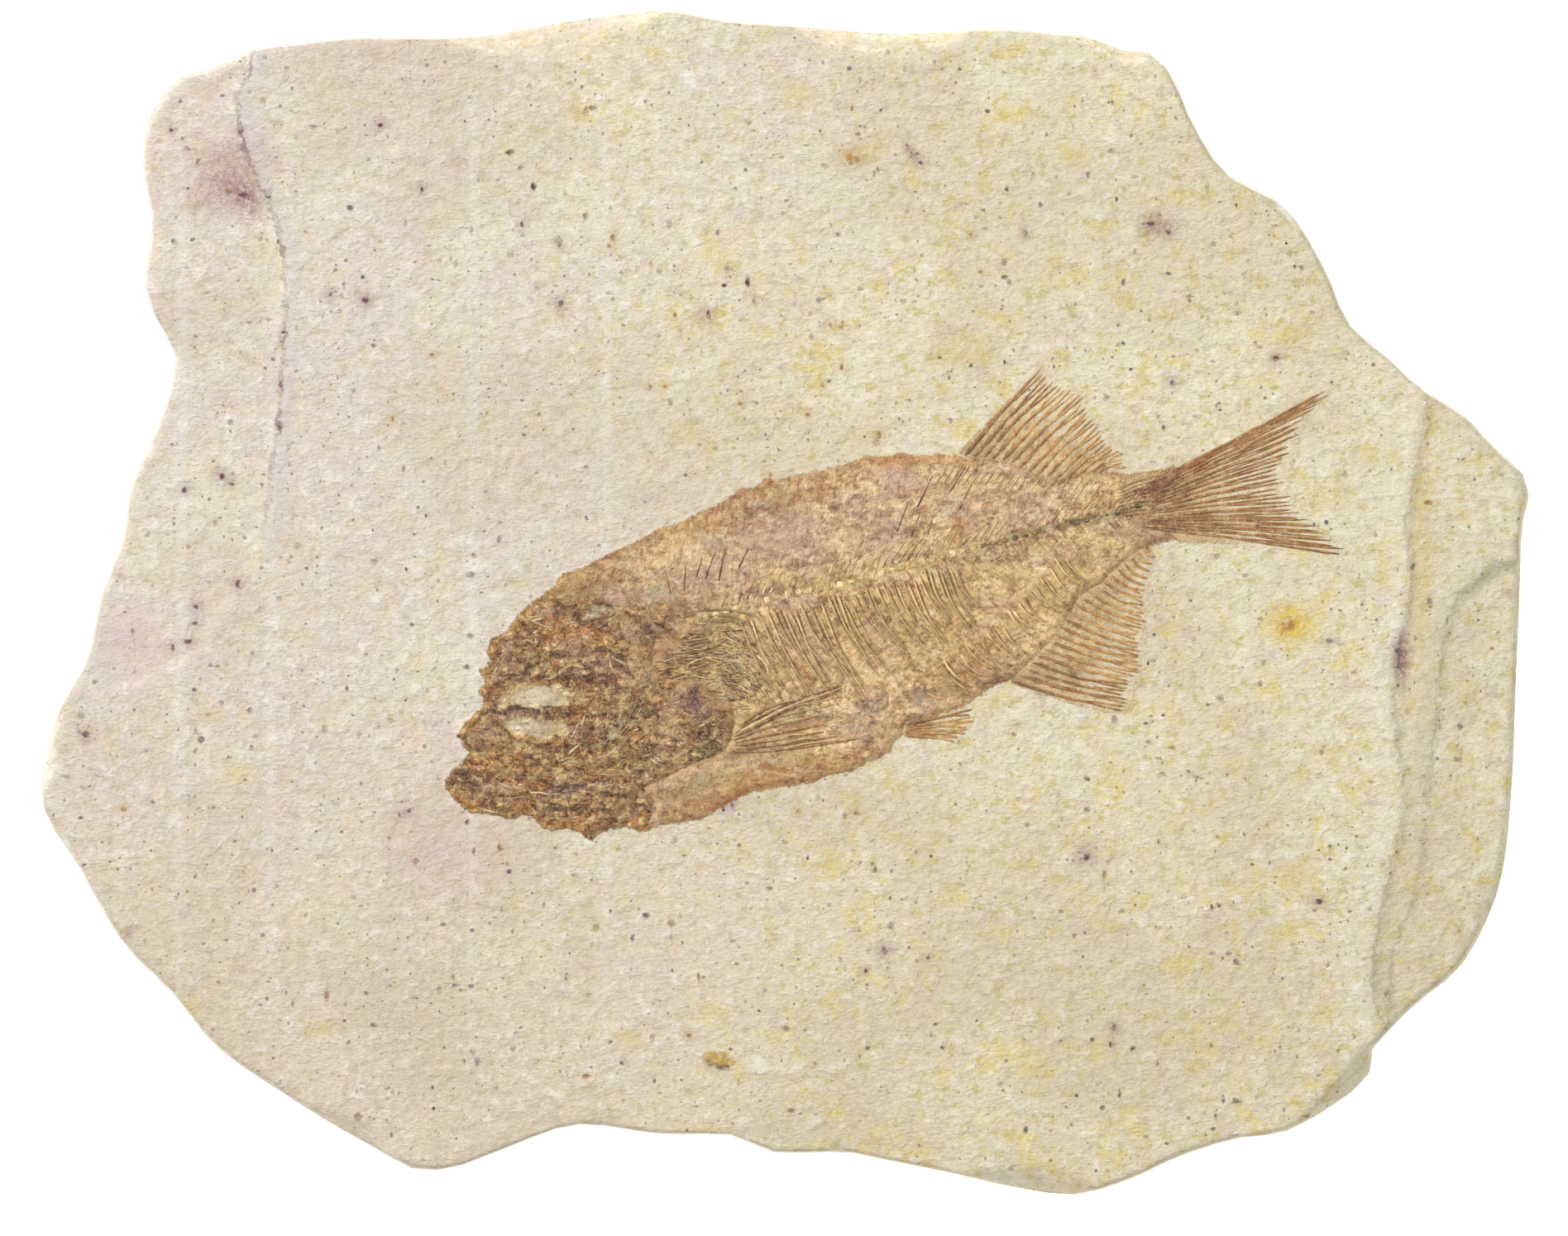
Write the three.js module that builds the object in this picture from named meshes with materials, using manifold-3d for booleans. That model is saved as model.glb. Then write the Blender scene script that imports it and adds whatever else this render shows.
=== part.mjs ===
// Fossil fish slab: a thin, irregular slab of fine cream limestone lying flat, with a
// small bony fish pressed flat on its upper bedding plane.
// Millimetres, +X towards the tail of the fish, +Y towards its back, +Z out of the bedding
// plane. The origin is on the underside, in the middle of the slab.

import * as THREE from 'three';
import { mergeVertices } from 'three/addons/utils/BufferGeometryUtils.js';
import Module from 'manifold-3d';

const wasm = await Module();
wasm.setup();

// ---------------------------------------------------------------- driving dimensions

const SLAB_THICKNESS = 14.0; // underside to the bedding plane the fish lies on
const WIDEST_LEVEL = 11.0; // height at which the broken edge stands out furthest
const EDGE_SAMPLES = 180; // points round each level of the slab
const UNDERCUT = 3.0; // how far the underside sits in from the widest level
const TOP_ROUNDING = 0.45; // how far the upper rim sits in from the widest level
const LEFT_LEDGE_DROP = 0.5; // drop of the left ledge at half height of the slab
const LEFT_LEDGE_TILT = 0.015; // extra drop per millimetre towards the upper edge
const RIGHT_TERRACE_DROP = 0.6; // drop of the right-hand terrace
const OUTER_TERRACE_DROP = 0.8; // drop of the outermost terrace at its inner border
const OUTER_TERRACE_TILT = 0.11; // extra drop per millimetre towards the right edge
const OUTER_TERRACE_START = 86; // distance of that inner border from the origin

const TRUNK_FILM = 0.45; // thickness of the pressed trunk with its scales and ribs
const HEAD_FILM = 0.5; // thickness of the pressed head bones
const FIN_FILM = 0.14; // thickness of the skin between the fin rays
const RAY_HEIGHT = 0.34; // height of a fin ray above the bedding plane
const RIDGE_HEIGHT = 0.2; // height of a bone ridge above its film
const RIB_HEIGHT = 0.12; // height of a rib above the trunk film
const BACKBONE_HEIGHT = 0.3; // height of the vertebrae above the trunk film
const VERTEBRAE = 28; // vertebrae showing behind the head
const RIB_COUNT = 13; // long ribs showing in the belly
const FILM_BEVEL = 0.35; // slope width round the edge of a film
const PIECE_GAP = 0.3; // gap kept between neighbouring pieces
const SLIVER = 0.01; // slivers thinner than this are merged away

// ---------------------------------------------------------------- outlines

// Broken outline of the slab at its widest level, clockwise from the upper left.
const SLAB_OUTLINE = [
  [-85.8, 58.6], [-84.6, 65.4], [-80.3, 70.5], [-76.5, 71.3], [-70.6, 74], [-66, 74.5],
  [-58, 75.4], [-41, 75.6], [-30, 77.5], [-19, 78.9], [-15.5, 79.1], [-8, 77.7],
  [2, 77], [12, 76.1], [20, 76.1], [28, 76.6], [36, 76], [41, 75.5],
  [44, 74], [49.5, 73.1], [52.5, 68.7], [54.5, 64], [59, 57.3], [66, 53.5],
  [68.4, 51], [72.4, 44], [75.5, 37], [80, 33.2], [85.5, 28.2], [91, 24.8],
  [94.6, 20.8], [99.4, 16], [98.5, 10], [98.2, 2], [97.7, -10], [97.1, -25],
  [95.9, -36], [94, -42], [90, -49], [84.5, -53.5], [80, -58], [78.2, -60.3],
  [78.1, -63], [72, -68], [66, -71], [61, -71.5], [52.5, -74.1], [47, -76.7],
  [39, -79.1], [31, -78.2], [22, -76.2], [13, -74.4], [8.5, -73.5], [-2.5, -73.3],
  [-6, -71.4], [-17, -71], [-28, -69.8], [-37.5, -73], [-45, -75.7], [-50, -75.6],
  [-54.5, -73], [-60, -70], [-67.5, -65.3], [-76, -59.3], [-82, -52], [-88, -46],
  [-91.8, -40], [-94.5, -35], [-98, -29.8], [-99.4, -26], [-97.7, -16], [-93.2, -7.5],
  [-91.4, 0.7], [-88.2, 9], [-87.6, 14.5], [-83.6, 24], [-81.4, 33], [-84.2, 38],
  [-85.5, 42.5], [-84.5, 51],
];

// Chips out of the upper rim: middle of the chip, half its length, how far it cuts in.
const RIM_CHIPS = [
  { at: [-31, 77.4], half: 16, depth: 5.6 },
  { at: [13, 76.1], half: 13, depth: 4.6 },
  { at: [44, 74.2], half: 8, depth: 2.4 },
  { at: [67.5, 52], half: 4, depth: 1.8 },
  { at: [75.5, -65.4], half: 8, depth: 4.6 },
  { at: [33, -78.5], half: 8.5, depth: 5.6 },
  { at: [-58, -71], half: 7, depth: 3.6 },
  { at: [-96, -32.5], half: 4.5, depth: 1.8 },
  { at: [-98.4, -20], half: 7, depth: 2.6 },
];

// Left ledge, one thin bed lower than the main plane; it runs out past the slab.
const LEFT_LEDGE = [
  [-71, 84], [-71, 71], [-72.9, 67.5], [-72.4, 62], [-70.3, 56.5], [-67.5, 50.5],
  [-66.6, 46], [-66.5, 36], [-67, 27], [-68.5, 15], [-69.8, 5], [-73, 1],
  [-77.5, -5], [-81, -9], [-90, -12], [-106, -11], [-106, 84],
];

// Right-hand terrace and the rougher terrace outside it.
const RIGHT_TERRACE = [
  [86, 44], [85.5, 25], [84, 17], [82.7, 11], [83.5, 1], [81, -9], [81.2, -16],
  [82.5, -28], [80.5, -36], [78.2, -49], [78.8, -60], [106, -60], [106, 44],
];
const OUTER_TERRACE = [
  [106, 7], [94.7, 5], [90, 1], [88, -4], [87, -13], [85.5, -27], [84.8, -35],
  [83.5, -40], [80.8, -47], [80.6, -62], [106, -62],
];

// Skull, cheek, gill cover and shoulder bones, clockwise from the throat.
const SKULL_OUTLINE = [
  [-41.7, -20.8], [-41.9, -19.9], [-42.7, -19.1], [-43.5, -17.9], [-42.7, -16.3],
  [-40.9, -14.6], [-40.1, -13.4], [-40.7, -12.1], [-39.9, -10.8], [-40.4, -9.3],
  [-39.2, -8], [-39.5, -6.6], [-38.9, -4.9], [-37, -4], [-35.8, -2.2], [-34.1, -0.4],
  [-32, 0.6], [-30.5, 0.8], [-28.6, 0.2], [-25, 0.3], [-22.4, 0.1], [-20.4, -0.5],
  [-18.5, -0.6], [-16, -1.9], [-14.2, -3.5], [-16.6, -5], [-17.1, -8], [-15.2, -10.1],
  [-12, -9.9], [-10, -10.4], [-9.2, -12.4], [-7.4, -12.8], [-6.5, -14.2], [-6.7, -18.4],
  [-8.4, -20.4], [-12, -21.8], [-16, -23.8], [-19.4, -25], [-24, -23.8], [-30, -22.4],
  [-36, -22.1],
];

// Two openings of the eye socket, either side of the bar that crosses it.
const EYE_OPENINGS = [
  [[-37.6, -13.2], [-35, -11.2], [-32, -10.6], [-29.6, -11.8], [-28.7, -13.2], [-32, -13.8]],
  [[-37.4, -16], [-33, -15.6], [-28.8, -15.7], [-30, -17.2], [-33.2, -18.2], [-35.6, -17.4]],
];

// Lower jaw and the throat plates under it, clockwise from the tip of the jaw.
const JAW_OUTLINE = [
  [-45.2, -24.4], [-44.4, -22.8], [-42.8, -21.5], [-41.2, -20.8], [-36, -20.4],
  [-28, -20.8], [-20, -23.4], [-17.6, -25.6], [-17.4, -28.4], [-19.4, -30.1],
  [-22.1, -29.9], [-24.3, -30.5], [-25.7, -31.7], [-26.8, -31.1], [-28.2, -30.2],
  [-31.8, -30.2], [-33.3, -28.8], [-35.3, -28.4], [-37, -28.7], [-40.5, -28.1],
  [-42.9, -27.1], [-44.2, -25.8],
];

// Trunk from behind the head to the tail root, clockwise from the top of the neck.
const TRUNK_OUTLINE = [
  [-31.3, 1.2], [-30.6, 3], [-27.4, 4.4], [-20.8, 7.4], [-16.6, 9.8], [-12, 11.6],
  [-8.4, 13.2], [-6, 15], [-2.7, 16.4], [1.9, 16.9], [7.8, 18.2], [11.1, 19.3],
  [15.4, 19.8], [21, 19.6], [24.2, 19.4], [29, 18.8], [32, 17.8], [34, 16.6],
  [37, 16.3], [39.6, 17.2], [44, 17.3], [48.5, 17.3], [52.4, 18.1], [52.3, 17],
  [50.2, 15.2], [49.8, 13], [50, 10.6], [51.4, 8.5], [48.2, 7.4], [46.2, 6.4],
  [44.6, 4.8], [42, 2.3], [39.4, 1.1], [37.9, -1.6], [36.2, -4.6], [33.4, -7.4],
  [30.2, -10.3], [26.4, -11.9], [23.8, -13.8], [19.9, -15.2], [16.1, -16],
  [15.6, -17.7], [13.8, -19.9], [9.8, -21.9], [6.5, -22.9], [1.9, -24.3], [-4, -25.1],
  [-7.7, -26.9], [-11.4, -28.9], [-17, -29.4], [-19, -29], [-24, -24], [-26, -10],
];

// Line of the backbone from behind the skull to the root of the tail.
const BACKBONE_LINE = [
  [-12.6, -2.6], [-6, -0.8], [0, 0.9], [8, 2.5], [16, 4.7], [24, 6.9], [32, 8.9],
  [40, 10.8], [48.4, 13.3],
];

// Fins: outline of the skin, then first and last ray as base and tip points.
// Rays between them are spread evenly; bend is how far the middle of a ray bows.
const FINS = {
  dorsal_fin: {
    skin: [
      [23.6, 19], [26, 22.6], [30.6, 27.8], [33.6, 30], [38, 27.6], [41, 24.4],
      [43.4, 20.8], [44.6, 18.2], [42, 16.6], [36, 15], [30, 17],
    ],
    bases: [[24.3, 18.6], [29, 17.9], [34, 15.7], [41, 16.6]],
    tips: [[34.9, 31.4], [38.9, 28], [42.4, 23.4], [45.6, 18.5]],
    rays: 17,
    width: 0.62,
    bend: 0.3,
  },
  anal_fin: {
    skin: [
      [29.8, -10.2], [33.6, -11.4], [38.6, -13], [44, -13.7], [46.2, -9], [47, -3],
      [47.4, 3], [47.9, 7], [43, 5], [38, 1], [34, -5],
    ],
    bases: [[30.2, -10.4], [33.4, -7.4], [37.6, -2], [42.4, 2.6], [46.8, 7]],
    tips: [[45.7, -14.2], [47.2, -9.6], [48, -3.3], [48.2, 2.4], [49.2, 6.2]],
    rays: 22,
    width: 0.56,
    bend: -0.35,
  },
  pelvic_fin: {
    skin: [
      [15.6, -16], [19.8, -15.6], [23.6, -15], [23.9, -17.6], [20, -18], [15.6, -17.8],
    ],
    bases: [[15.8, -16.4], [15.8, -17.5]],
    tips: [[25.3, -14.6], [23.2, -18.1]],
    rays: 7,
    width: 0.44,
    bend: 0.1,
  },
  tail_fin: {
    skin: [
      [51.6, 16.9], [54.2, 18.2], [57.2, 20.2], [60, 21.8], [65.9, 24.9], [68, 24],
      [66.4, 20], [65.8, 16], [66.6, 12], [68.4, 8.2], [60, 8], [54.4, 8.4],
      [51, 9], [48, 12],
    ],
    bases: [[51.2, 16.4], [49, 14], [49, 11.4], [50.6, 9.4]],
    tips: [[71.8, 27.7], [66.4, 18.6], [68.8, 11], [73.1, 6.9]],
    rays: 23,
    width: 0.7,
    bend: 0.15,
  },
};

// Pectoral fin, folded back over the belly.
const PECTORAL = {
  base: [[-5.4, -17], [-5.6, -20.6]],
  tips: [[7.8, -12], [6.4, -15.8], [9.4, -18.2], [3, -20.8]],
  rays: 9,
  width: 0.55,
};

// Ridges along the head bones: path points and the width of the ridge.
const SKULL_RIDGES = [
  { path: [[-41.6, -17.6], [-40.2, -15.2], [-36, -14.5], [-28.6, -14.9]], width: 0.9 },
  { path: [[-33, -0.8], [-30, -3.4], [-31.6, -7], [-36, -9.4], [-38.6, -9.9]], width: 0.8 },
  { path: [[-29, -0.9], [-24, -1], [-19.6, -1.6], [-15.8, -3.3]], width: 0.9 },
  { path: [[-22.4, -3], [-22.6, -8], [-23, -13], [-25.4, -18], [-29, -20.6]], width: 0.8 },
  { path: [[-18.4, -11.6], [-17.4, -15], [-18.6, -19], [-21, -22]], width: 0.8 },
  { path: [[-8.2, -13.8], [-7.9, -16], [-8.2, -18.8], [-12, -20.8]], width: 0.9 },
  { path: [[-41, -18.6], [-36, -19.6], [-30, -20.9]], width: 0.7 },
];
const JAW_RIDGES = [
  { path: [[-44, -24.3], [-39, -23.4], [-32, -24], [-24, -25.6]], width: 0.9 },
  { path: [[-34, -27.4], [-29, -27.9], [-24.2, -27.4], [-20, -27]], width: 0.9 },
];

// ---------------------------------------------------------------- small helpers

function vec2(pair) {
  return new THREE.Vector2(pair[0], pair[1]);
}

// Points evenly spaced along a smooth open line through the given points.
function alongLine(pairs, count) {
  const knots = pairs.map((pair) => new THREE.Vector3(pair[0], pair[1], 0));
  const curve = new THREE.CatmullRomCurve3(knots, false, 'centripetal');
  return curve.getSpacedPoints(count).map((p) => new THREE.Vector2(p.x, p.y));
}

// Points evenly spaced round a smooth closed outline, always anticlockwise.
function roundOutline(pairs, count) {
  const knots = pairs.map((pair) => new THREE.Vector3(pair[0], pair[1], 0));
  const curve = new THREE.CatmullRomCurve3(knots, true, 'centripetal');
  const points = curve.getSpacedPoints(count).map((p) => new THREE.Vector2(p.x, p.y));
  points.pop();
  if (THREE.ShapeUtils.isClockWise(points)) {
    points.reverse();
  }
  return points;
}

// Sum of three slow waves, between about -1 and 1.
function waves(turn, phase) {
  const slow = Math.sin(7 * turn + phase);
  const middle = Math.sin(19 * turn + 2.3 * phase);
  const quick = Math.sin(41 * turn + 4.1 * phase);
  return 0.45 * slow + 0.33 * middle + 0.22 * quick;
}

// Outline moved inwards; the distance may differ from point to point.
function movedIn(outline, distanceAt) {
  const count = outline.length;
  return outline.map((point, i) => {
    const before = outline[(i + count - 1) % count];
    const after = outline[(i + 1) % count];
    const along = after.clone().sub(before).normalize();
    const inward = new THREE.Vector2(-along.y, along.x);
    return point.clone().addScaledVector(inward, distanceAt(point, i));
  });
}

function atHeight(outline, heightAt) {
  return outline.map((p, i) => new THREE.Vector3(p.x, p.y, heightAt(p, i)));
}

// Closed skin through a stack of anticlockwise rings, lowest first, with flat ends.
function stackedRings(rings) {
  const count = rings[0].length;
  const geometry = new THREE.BufferGeometry();
  geometry.setFromPoints(rings.flat());
  const index = [];
  for (let level = 0; level + 1 < rings.length; level += 1) {
    for (let i = 0; i < count; i += 1) {
      const a = level * count + i;
      const b = level * count + ((i + 1) % count);
      index.push(a, b, b + count);
      index.push(a, b + count, a + count);
    }
  }
  const lid = (rings.length - 1) * count;
  const ends = [rings[0], rings[rings.length - 1]];
  const flat = ends.map((ring) => ring.map((p) => new THREE.Vector2(p.x, p.y)));
  for (const [a, b, c] of THREE.ShapeUtils.triangulateShape(flat[0], [])) {
    index.push(a, c, b);
  }
  for (const [a, b, c] of THREE.ShapeUtils.triangulateShape(flat[1], [])) {
    index.push(lid + a, lid + b, lid + c);
  }
  geometry.setIndex(index);
  return geometry;
}

// Solid body for cutting and joining.
function solid(geometry) {
  const bare = geometry.clone();
  bare.deleteAttribute('normal');
  bare.deleteAttribute('uv');
  const merged = mergeVertices(bare, 1e-5);
  const mesh = new wasm.Mesh({
    numProp: 3,
    vertProperties: new Float32Array(merged.attributes.position.array),
    triVerts: new Uint32Array(merged.index.array),
  });
  return new wasm.Manifold(mesh);
}

// Back from a solid body to a drawable shape.
function drawn(body) {
  const mesh = body.simplify(SLIVER).getMesh();
  const geometry = new THREE.BufferGeometry();
  geometry.setAttribute('position', new THREE.BufferAttribute(mesh.vertProperties, 3));
  geometry.setIndex(new THREE.BufferAttribute(mesh.triVerts, 1));
  geometry.computeVertexNormals();
  return geometry;
}

// Straight-walled block with the given outline between two heights.
function block(outline, low, high) {
  return solid(stackedRings([atHeight(outline, () => low), atHeight(outline, () => high)]));
}

// Thin film lying on a floor, its rim sloping in to the top.
function film(outline, floor, thickness) {
  const bottom = atHeight(outline, () => floor);
  const upper = movedIn(outline, () => FILM_BEVEL);
  return solid(stackedRings([bottom, atHeight(upper, () => floor + thickness)]));
}

// Low ridge with a flat underside along a path; it narrows towards its far end.
function ridge(path, width, floor, height, taper) {
  const last = path.length - 1;
  const positions = [];
  path.forEach((point, i) => {
    const before = path[Math.max(0, i - 1)];
    const after = path[Math.min(last, i + 1)];
    const along = after.clone().sub(before).normalize();
    const side = new THREE.Vector2(-along.y, along.x);
    const half = 0.5 * width * (1 - (taper * i) / last);
    for (const [share, z] of [[-1, 0], [1, 0], [0.45, height], [-0.45, height]]) {
      const corner = point.clone().addScaledVector(side, share * half);
      positions.push(new THREE.Vector3(corner.x, corner.y, floor + z));
    }
  });
  const index = [];
  for (let i = 0; i < last; i += 1) {
    for (let k = 0; k < 4; k += 1) {
      const a = 4 * i + k;
      const b = 4 * i + ((k + 1) % 4);
      index.push(a, b, b + 4);
      index.push(a, b + 4, a + 4);
    }
  }
  index.push(0, 3, 2, 0, 2, 1);
  const end = 4 * last;
  index.push(end, end + 1, end + 2, end, end + 2, end + 3);
  const geometry = new THREE.BufferGeometry();
  geometry.setFromPoints(positions);
  geometry.setIndex(index);
  const body = solid(geometry);
  return body.volume() < 0 ? solid(geometry.setIndex(index.reverse())) : body;
}

function joined(bodies) {
  return bodies.reduce((sum, body) => sum.add(body));
}

// ---------------------------------------------------------------- slab

function chipDepth(point) {
  let depth = 0;
  for (const chip of RIM_CHIPS) {
    const share = point.distanceTo(vec2(chip.at)) / chip.half;
    depth = Math.max(depth, chip.depth * (1 - share * share));
  }
  return depth;
}

function slabBody() {
  const outline = roundOutline(SLAB_OUTLINE, EDGE_SAMPLES);
  const turnAt = (i) => (2 * Math.PI * i) / outline.length;
  const level = (height, inset, wobble, phase) => {
    const distance = (point, i) => inset + wobble * waves(turnAt(i), phase);
    return atHeight(movedIn(outline, distance), () => height);
  };
  const rimDistance = (point, i) => {
    return TOP_ROUNDING + 0.2 * waves(turnAt(i), 3.4) + chipDepth(point);
  };
  const rings = [
    level(0, UNDERCUT, 1.2, 0.7),
    level(2.4, 0.5 * UNDERCUT, 0.9, 1.9),
    level(6.8, 0.2 * UNDERCUT, 0.5, 2.6),
    level(WIDEST_LEVEL, 0, 0, 0),
    atHeight(movedIn(outline, rimDistance), () => SLAB_THICKNESS),
  ];
  return solid(stackedRings(rings));
}

// Block that takes away everything above a floor; the floor may tilt along X or Y.
function terraceCut(pairs, drop, tiltX, tiltY) {
  const outline = pairs.map(vec2);
  if (THREE.ShapeUtils.isClockWise(outline)) {
    outline.reverse();
  }
  const floorAt = (p) => SLAB_THICKNESS - drop - tiltX * p.x - tiltY * p.y;
  const low = atHeight(outline, floorAt);
  const high = atHeight(outline, () => SLAB_THICKNESS + 4);
  return solid(stackedRings([low, high]));
}

function slab() {
  const outerDrop = OUTER_TERRACE_DROP - OUTER_TERRACE_TILT * OUTER_TERRACE_START;
  return slabBody()
    .subtract(terraceCut(LEFT_LEDGE, LEFT_LEDGE_DROP, 0, LEFT_LEDGE_TILT))
    .subtract(terraceCut(RIGHT_TERRACE, RIGHT_TERRACE_DROP, 0, 0))
    .subtract(terraceCut(OUTER_TERRACE, outerDrop, OUTER_TERRACE_TILT, 0));
}

// ---------------------------------------------------------------- head

const PLANE = SLAB_THICKNESS;
const skullOutline = roundOutline(SKULL_OUTLINE, 90);
const jawOutline = roundOutline(JAW_OUTLINE, 64);
const trunkOutline = roundOutline(TRUNK_OUTLINE, 124);

// Clearance round a piece, taken out of its neighbours.
function clearance(outline) {
  return block(movedIn(outline, () => -PIECE_GAP), PLANE - 1, PLANE + 3);
}

function ridges(list, floor) {
  return list.map((item) => ridge(alongLine(item.path, 6), item.width, floor, RIDGE_HEIGHT, 0.4));
}

function skull() {
  const plate = film(skullOutline, PLANE, HEAD_FILM);
  const bones = ridges(SKULL_RIDGES, PLANE + HEAD_FILM);
  const openings = EYE_OPENINGS.map((pairs) => {
    return block(roundOutline(pairs, 20), PLANE - 1, PLANE + 3);
  });
  return joined([plate, ...bones]).subtract(joined(openings));
}

function lowerJaw() {
  const plate = film(jawOutline, PLANE, HEAD_FILM);
  const bones = ridges(JAW_RIDGES, PLANE + HEAD_FILM);
  return joined([plate, ...bones]).subtract(clearance(skullOutline));
}

// ---------------------------------------------------------------- trunk and backbone

// Long ribs curving from just under the backbone back towards the belly.
function ribs() {
  const line = alongLine(BACKBONE_LINE, 60);
  const bodies = [];
  for (let i = 0; i < RIB_COUNT; i += 1) {
    const start = line[15 + 2 * i].clone().add(new THREE.Vector2(0.4, -1.4));
    const length = 9.4 - 0.12 * i;
    const middle = start.clone().add(new THREE.Vector2(0.24 * length, -0.42 * length));
    const end = start.clone().add(new THREE.Vector2(0.42 * length, -0.98 * length));
    const path = alongLine([start.toArray(), middle.toArray(), end.toArray()], 3);
    bodies.push(ridge(path, 0.36, PLANE + TRUNK_FILM, RIB_HEIGHT, 0.5));
  }
  return bodies;
}

function trunk() {
  const body = joined([film(trunkOutline, PLANE, TRUNK_FILM), ...ribs()]);
  return body.subtract(clearance(skullOutline)).subtract(clearance(jawOutline));
}

// Chain of hourglass vertebrae on a thin strip.
function backbone() {
  const floor = PLANE + TRUNK_FILM;
  const line = alongLine(BACKBONE_LINE, VERTEBRAE);
  const bodies = [ridge(line, 0.9, floor, 0.14, 0.35)];
  for (let i = 0; i < VERTEBRAE; i += 1) {
    const from = line[i].clone().lerp(line[i + 1], 0.12);
    const to = line[i].clone().lerp(line[i + 1], 0.84);
    const width = 1.7 - (0.7 * i) / VERTEBRAE;
    bodies.push(ridge([from, to], width, floor, BACKBONE_HEIGHT, 0.12));
  }
  return joined(bodies);
}

// ---------------------------------------------------------------- fins

// Tapered rays fanned between a line of bases and a line of tips.
function fan(bases, tips, count, width, bend, floor) {
  const starts = alongLine(bases, count - 1);
  const ends = alongLine(tips, count - 1);
  return starts.map((start, i) => {
    const end = ends[i];
    const along = end.clone().sub(start);
    const side = new THREE.Vector2(-along.y, along.x).normalize();
    const middle = start.clone().lerp(end, 0.5).addScaledVector(side, bend);
    const path = alongLine([start.toArray(), middle.toArray(), end.toArray()], 2);
    return ridge(path, width, floor, RAY_HEIGHT, 0.55);
  });
}

function fin(spec) {
  const skin = film(roundOutline(spec.skin, 30), PLANE, FIN_FILM);
  const rays = fan(spec.bases, spec.tips, spec.rays, spec.width, spec.bend, PLANE);
  return joined([skin, ...rays]).subtract(clearance(trunkOutline));
}

function pectoralFin() {
  const floor = PLANE + TRUNK_FILM;
  const root = ridge(alongLine(PECTORAL.base, 3), 1, floor, 0.3, 0);
  const rays = fan(PECTORAL.base, PECTORAL.tips, PECTORAL.rays, PECTORAL.width, 0.2, floor);
  return joined([root, ...rays]);
}

// ---------------------------------------------------------------- assembly

const STONE = new THREE.MeshStandardMaterial({ color: 0xe6dcc4, roughness: 0.92, metalness: 0 });
const BONE = new THREE.MeshStandardMaterial({ color: 0x7a5638, roughness: 0.7, metalness: 0 });
const SKIN = new THREE.MeshStandardMaterial({ color: 0xb9986c, roughness: 0.8, metalness: 0 });

function named(name, body, material) {
  const mesh = new THREE.Mesh(drawn(body), material);
  mesh.name = name;
  return mesh;
}

const part = new THREE.Group();
part.name = 'fossil_fish_slab';
part.add(named('slab', slab(), STONE));
part.add(named('skull', skull(), BONE));
part.add(named('lower_jaw', lowerJaw(), BONE));
part.add(named('trunk', trunk(), SKIN));
part.add(named('backbone', backbone(), BONE));
part.add(named('pectoral_fin', pectoralFin(), BONE));
for (const [name, spec] of Object.entries(FINS)) {
  part.add(named(name, fin(spec), BONE));
}

export default part;
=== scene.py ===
"""Fossil fish slab: the looks of a small bony fish pressed flat on a limestone slab.

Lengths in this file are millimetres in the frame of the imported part: +X towards the tail,
+Y towards the back of the fish, +Z out of the bedding plane. Meshes are written in metres.
"""

import logging
import math
from dataclasses import dataclass
from enum import Enum
from typing import Callable, Optional, Sequence

import bpy
import numpy as np
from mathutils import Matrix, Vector


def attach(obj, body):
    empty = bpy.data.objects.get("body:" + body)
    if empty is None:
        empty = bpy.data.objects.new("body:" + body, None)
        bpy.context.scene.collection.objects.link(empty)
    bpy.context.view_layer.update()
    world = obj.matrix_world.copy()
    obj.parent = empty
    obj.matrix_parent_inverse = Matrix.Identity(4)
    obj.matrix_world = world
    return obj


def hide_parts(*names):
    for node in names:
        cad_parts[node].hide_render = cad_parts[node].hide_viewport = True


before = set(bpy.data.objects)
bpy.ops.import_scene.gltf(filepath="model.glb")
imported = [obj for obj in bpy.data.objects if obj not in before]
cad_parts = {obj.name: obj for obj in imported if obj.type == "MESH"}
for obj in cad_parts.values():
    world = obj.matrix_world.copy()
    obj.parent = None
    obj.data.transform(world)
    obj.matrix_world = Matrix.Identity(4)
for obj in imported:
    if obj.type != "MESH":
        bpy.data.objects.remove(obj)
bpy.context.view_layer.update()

log = logging.getLogger("fossil_fish_slab")

MM = 0.001
FULL_COVER = 1.3  # cover of a crust that hides the stone wholly, ragged holes included
LOOSE_FLECKS = 1500
Array = np.ndarray
Pairs = Sequence[tuple[float, float]]
Spots = Sequence[tuple[float, float, float]]
HeightAt = Callable[[Array, Array], Array]


# ------------------------------------------------------------------ numbers and curves


def srgb(red: float, green: float, blue: float) -> Array:
    """Linear colour from display values of 0 to 255.

    Args:
        red: Red, 0 to 255.
        green: Green, 0 to 255.
        blue: Blue, 0 to 255.

    Returns:
        The three linear components.
    """
    share = np.array([red, green, blue], dtype=float) / 255.0
    return np.where(share <= 0.04045, share / 12.92, ((share + 0.055) / 1.055) ** 2.4)


def smooth(low: float, high: float, value: Array) -> Array:
    """Smooth step from 0 at low to 1 at high.

    Args:
        low: Value that gives 0.
        high: Value that gives 1; it may be under low.
        value: Where to evaluate.

    Returns:
        Values between 0 and 1.
    """
    share = np.clip((value - low) / (high - low), 0.0, 1.0)
    return share * share * (3.0 - 2.0 * share)


def lattice(i: Array, j: Array, seed: int) -> Array:
    """Repeatable random number for each point of an integer lattice.

    Args:
        i: Column of the lattice point.
        j: Row of the lattice point.
        seed: Which random field.

    Returns:
        Values between -1 and 1.
    """
    mask = np.int64(0xFFFFFFFF)
    h = (i.astype(np.int64) * 374761393 + j.astype(np.int64) * 668265263 + seed * 974634777) & mask
    h = ((h ^ (h >> 13)) * 1274126177) & mask
    h = ((h ^ (h >> 16)) * 2246822519) & mask
    return ((h ^ (h >> 15)) & 0xFFFFFF) / float(0xFFFFFF) * 2.0 - 1.0


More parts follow.
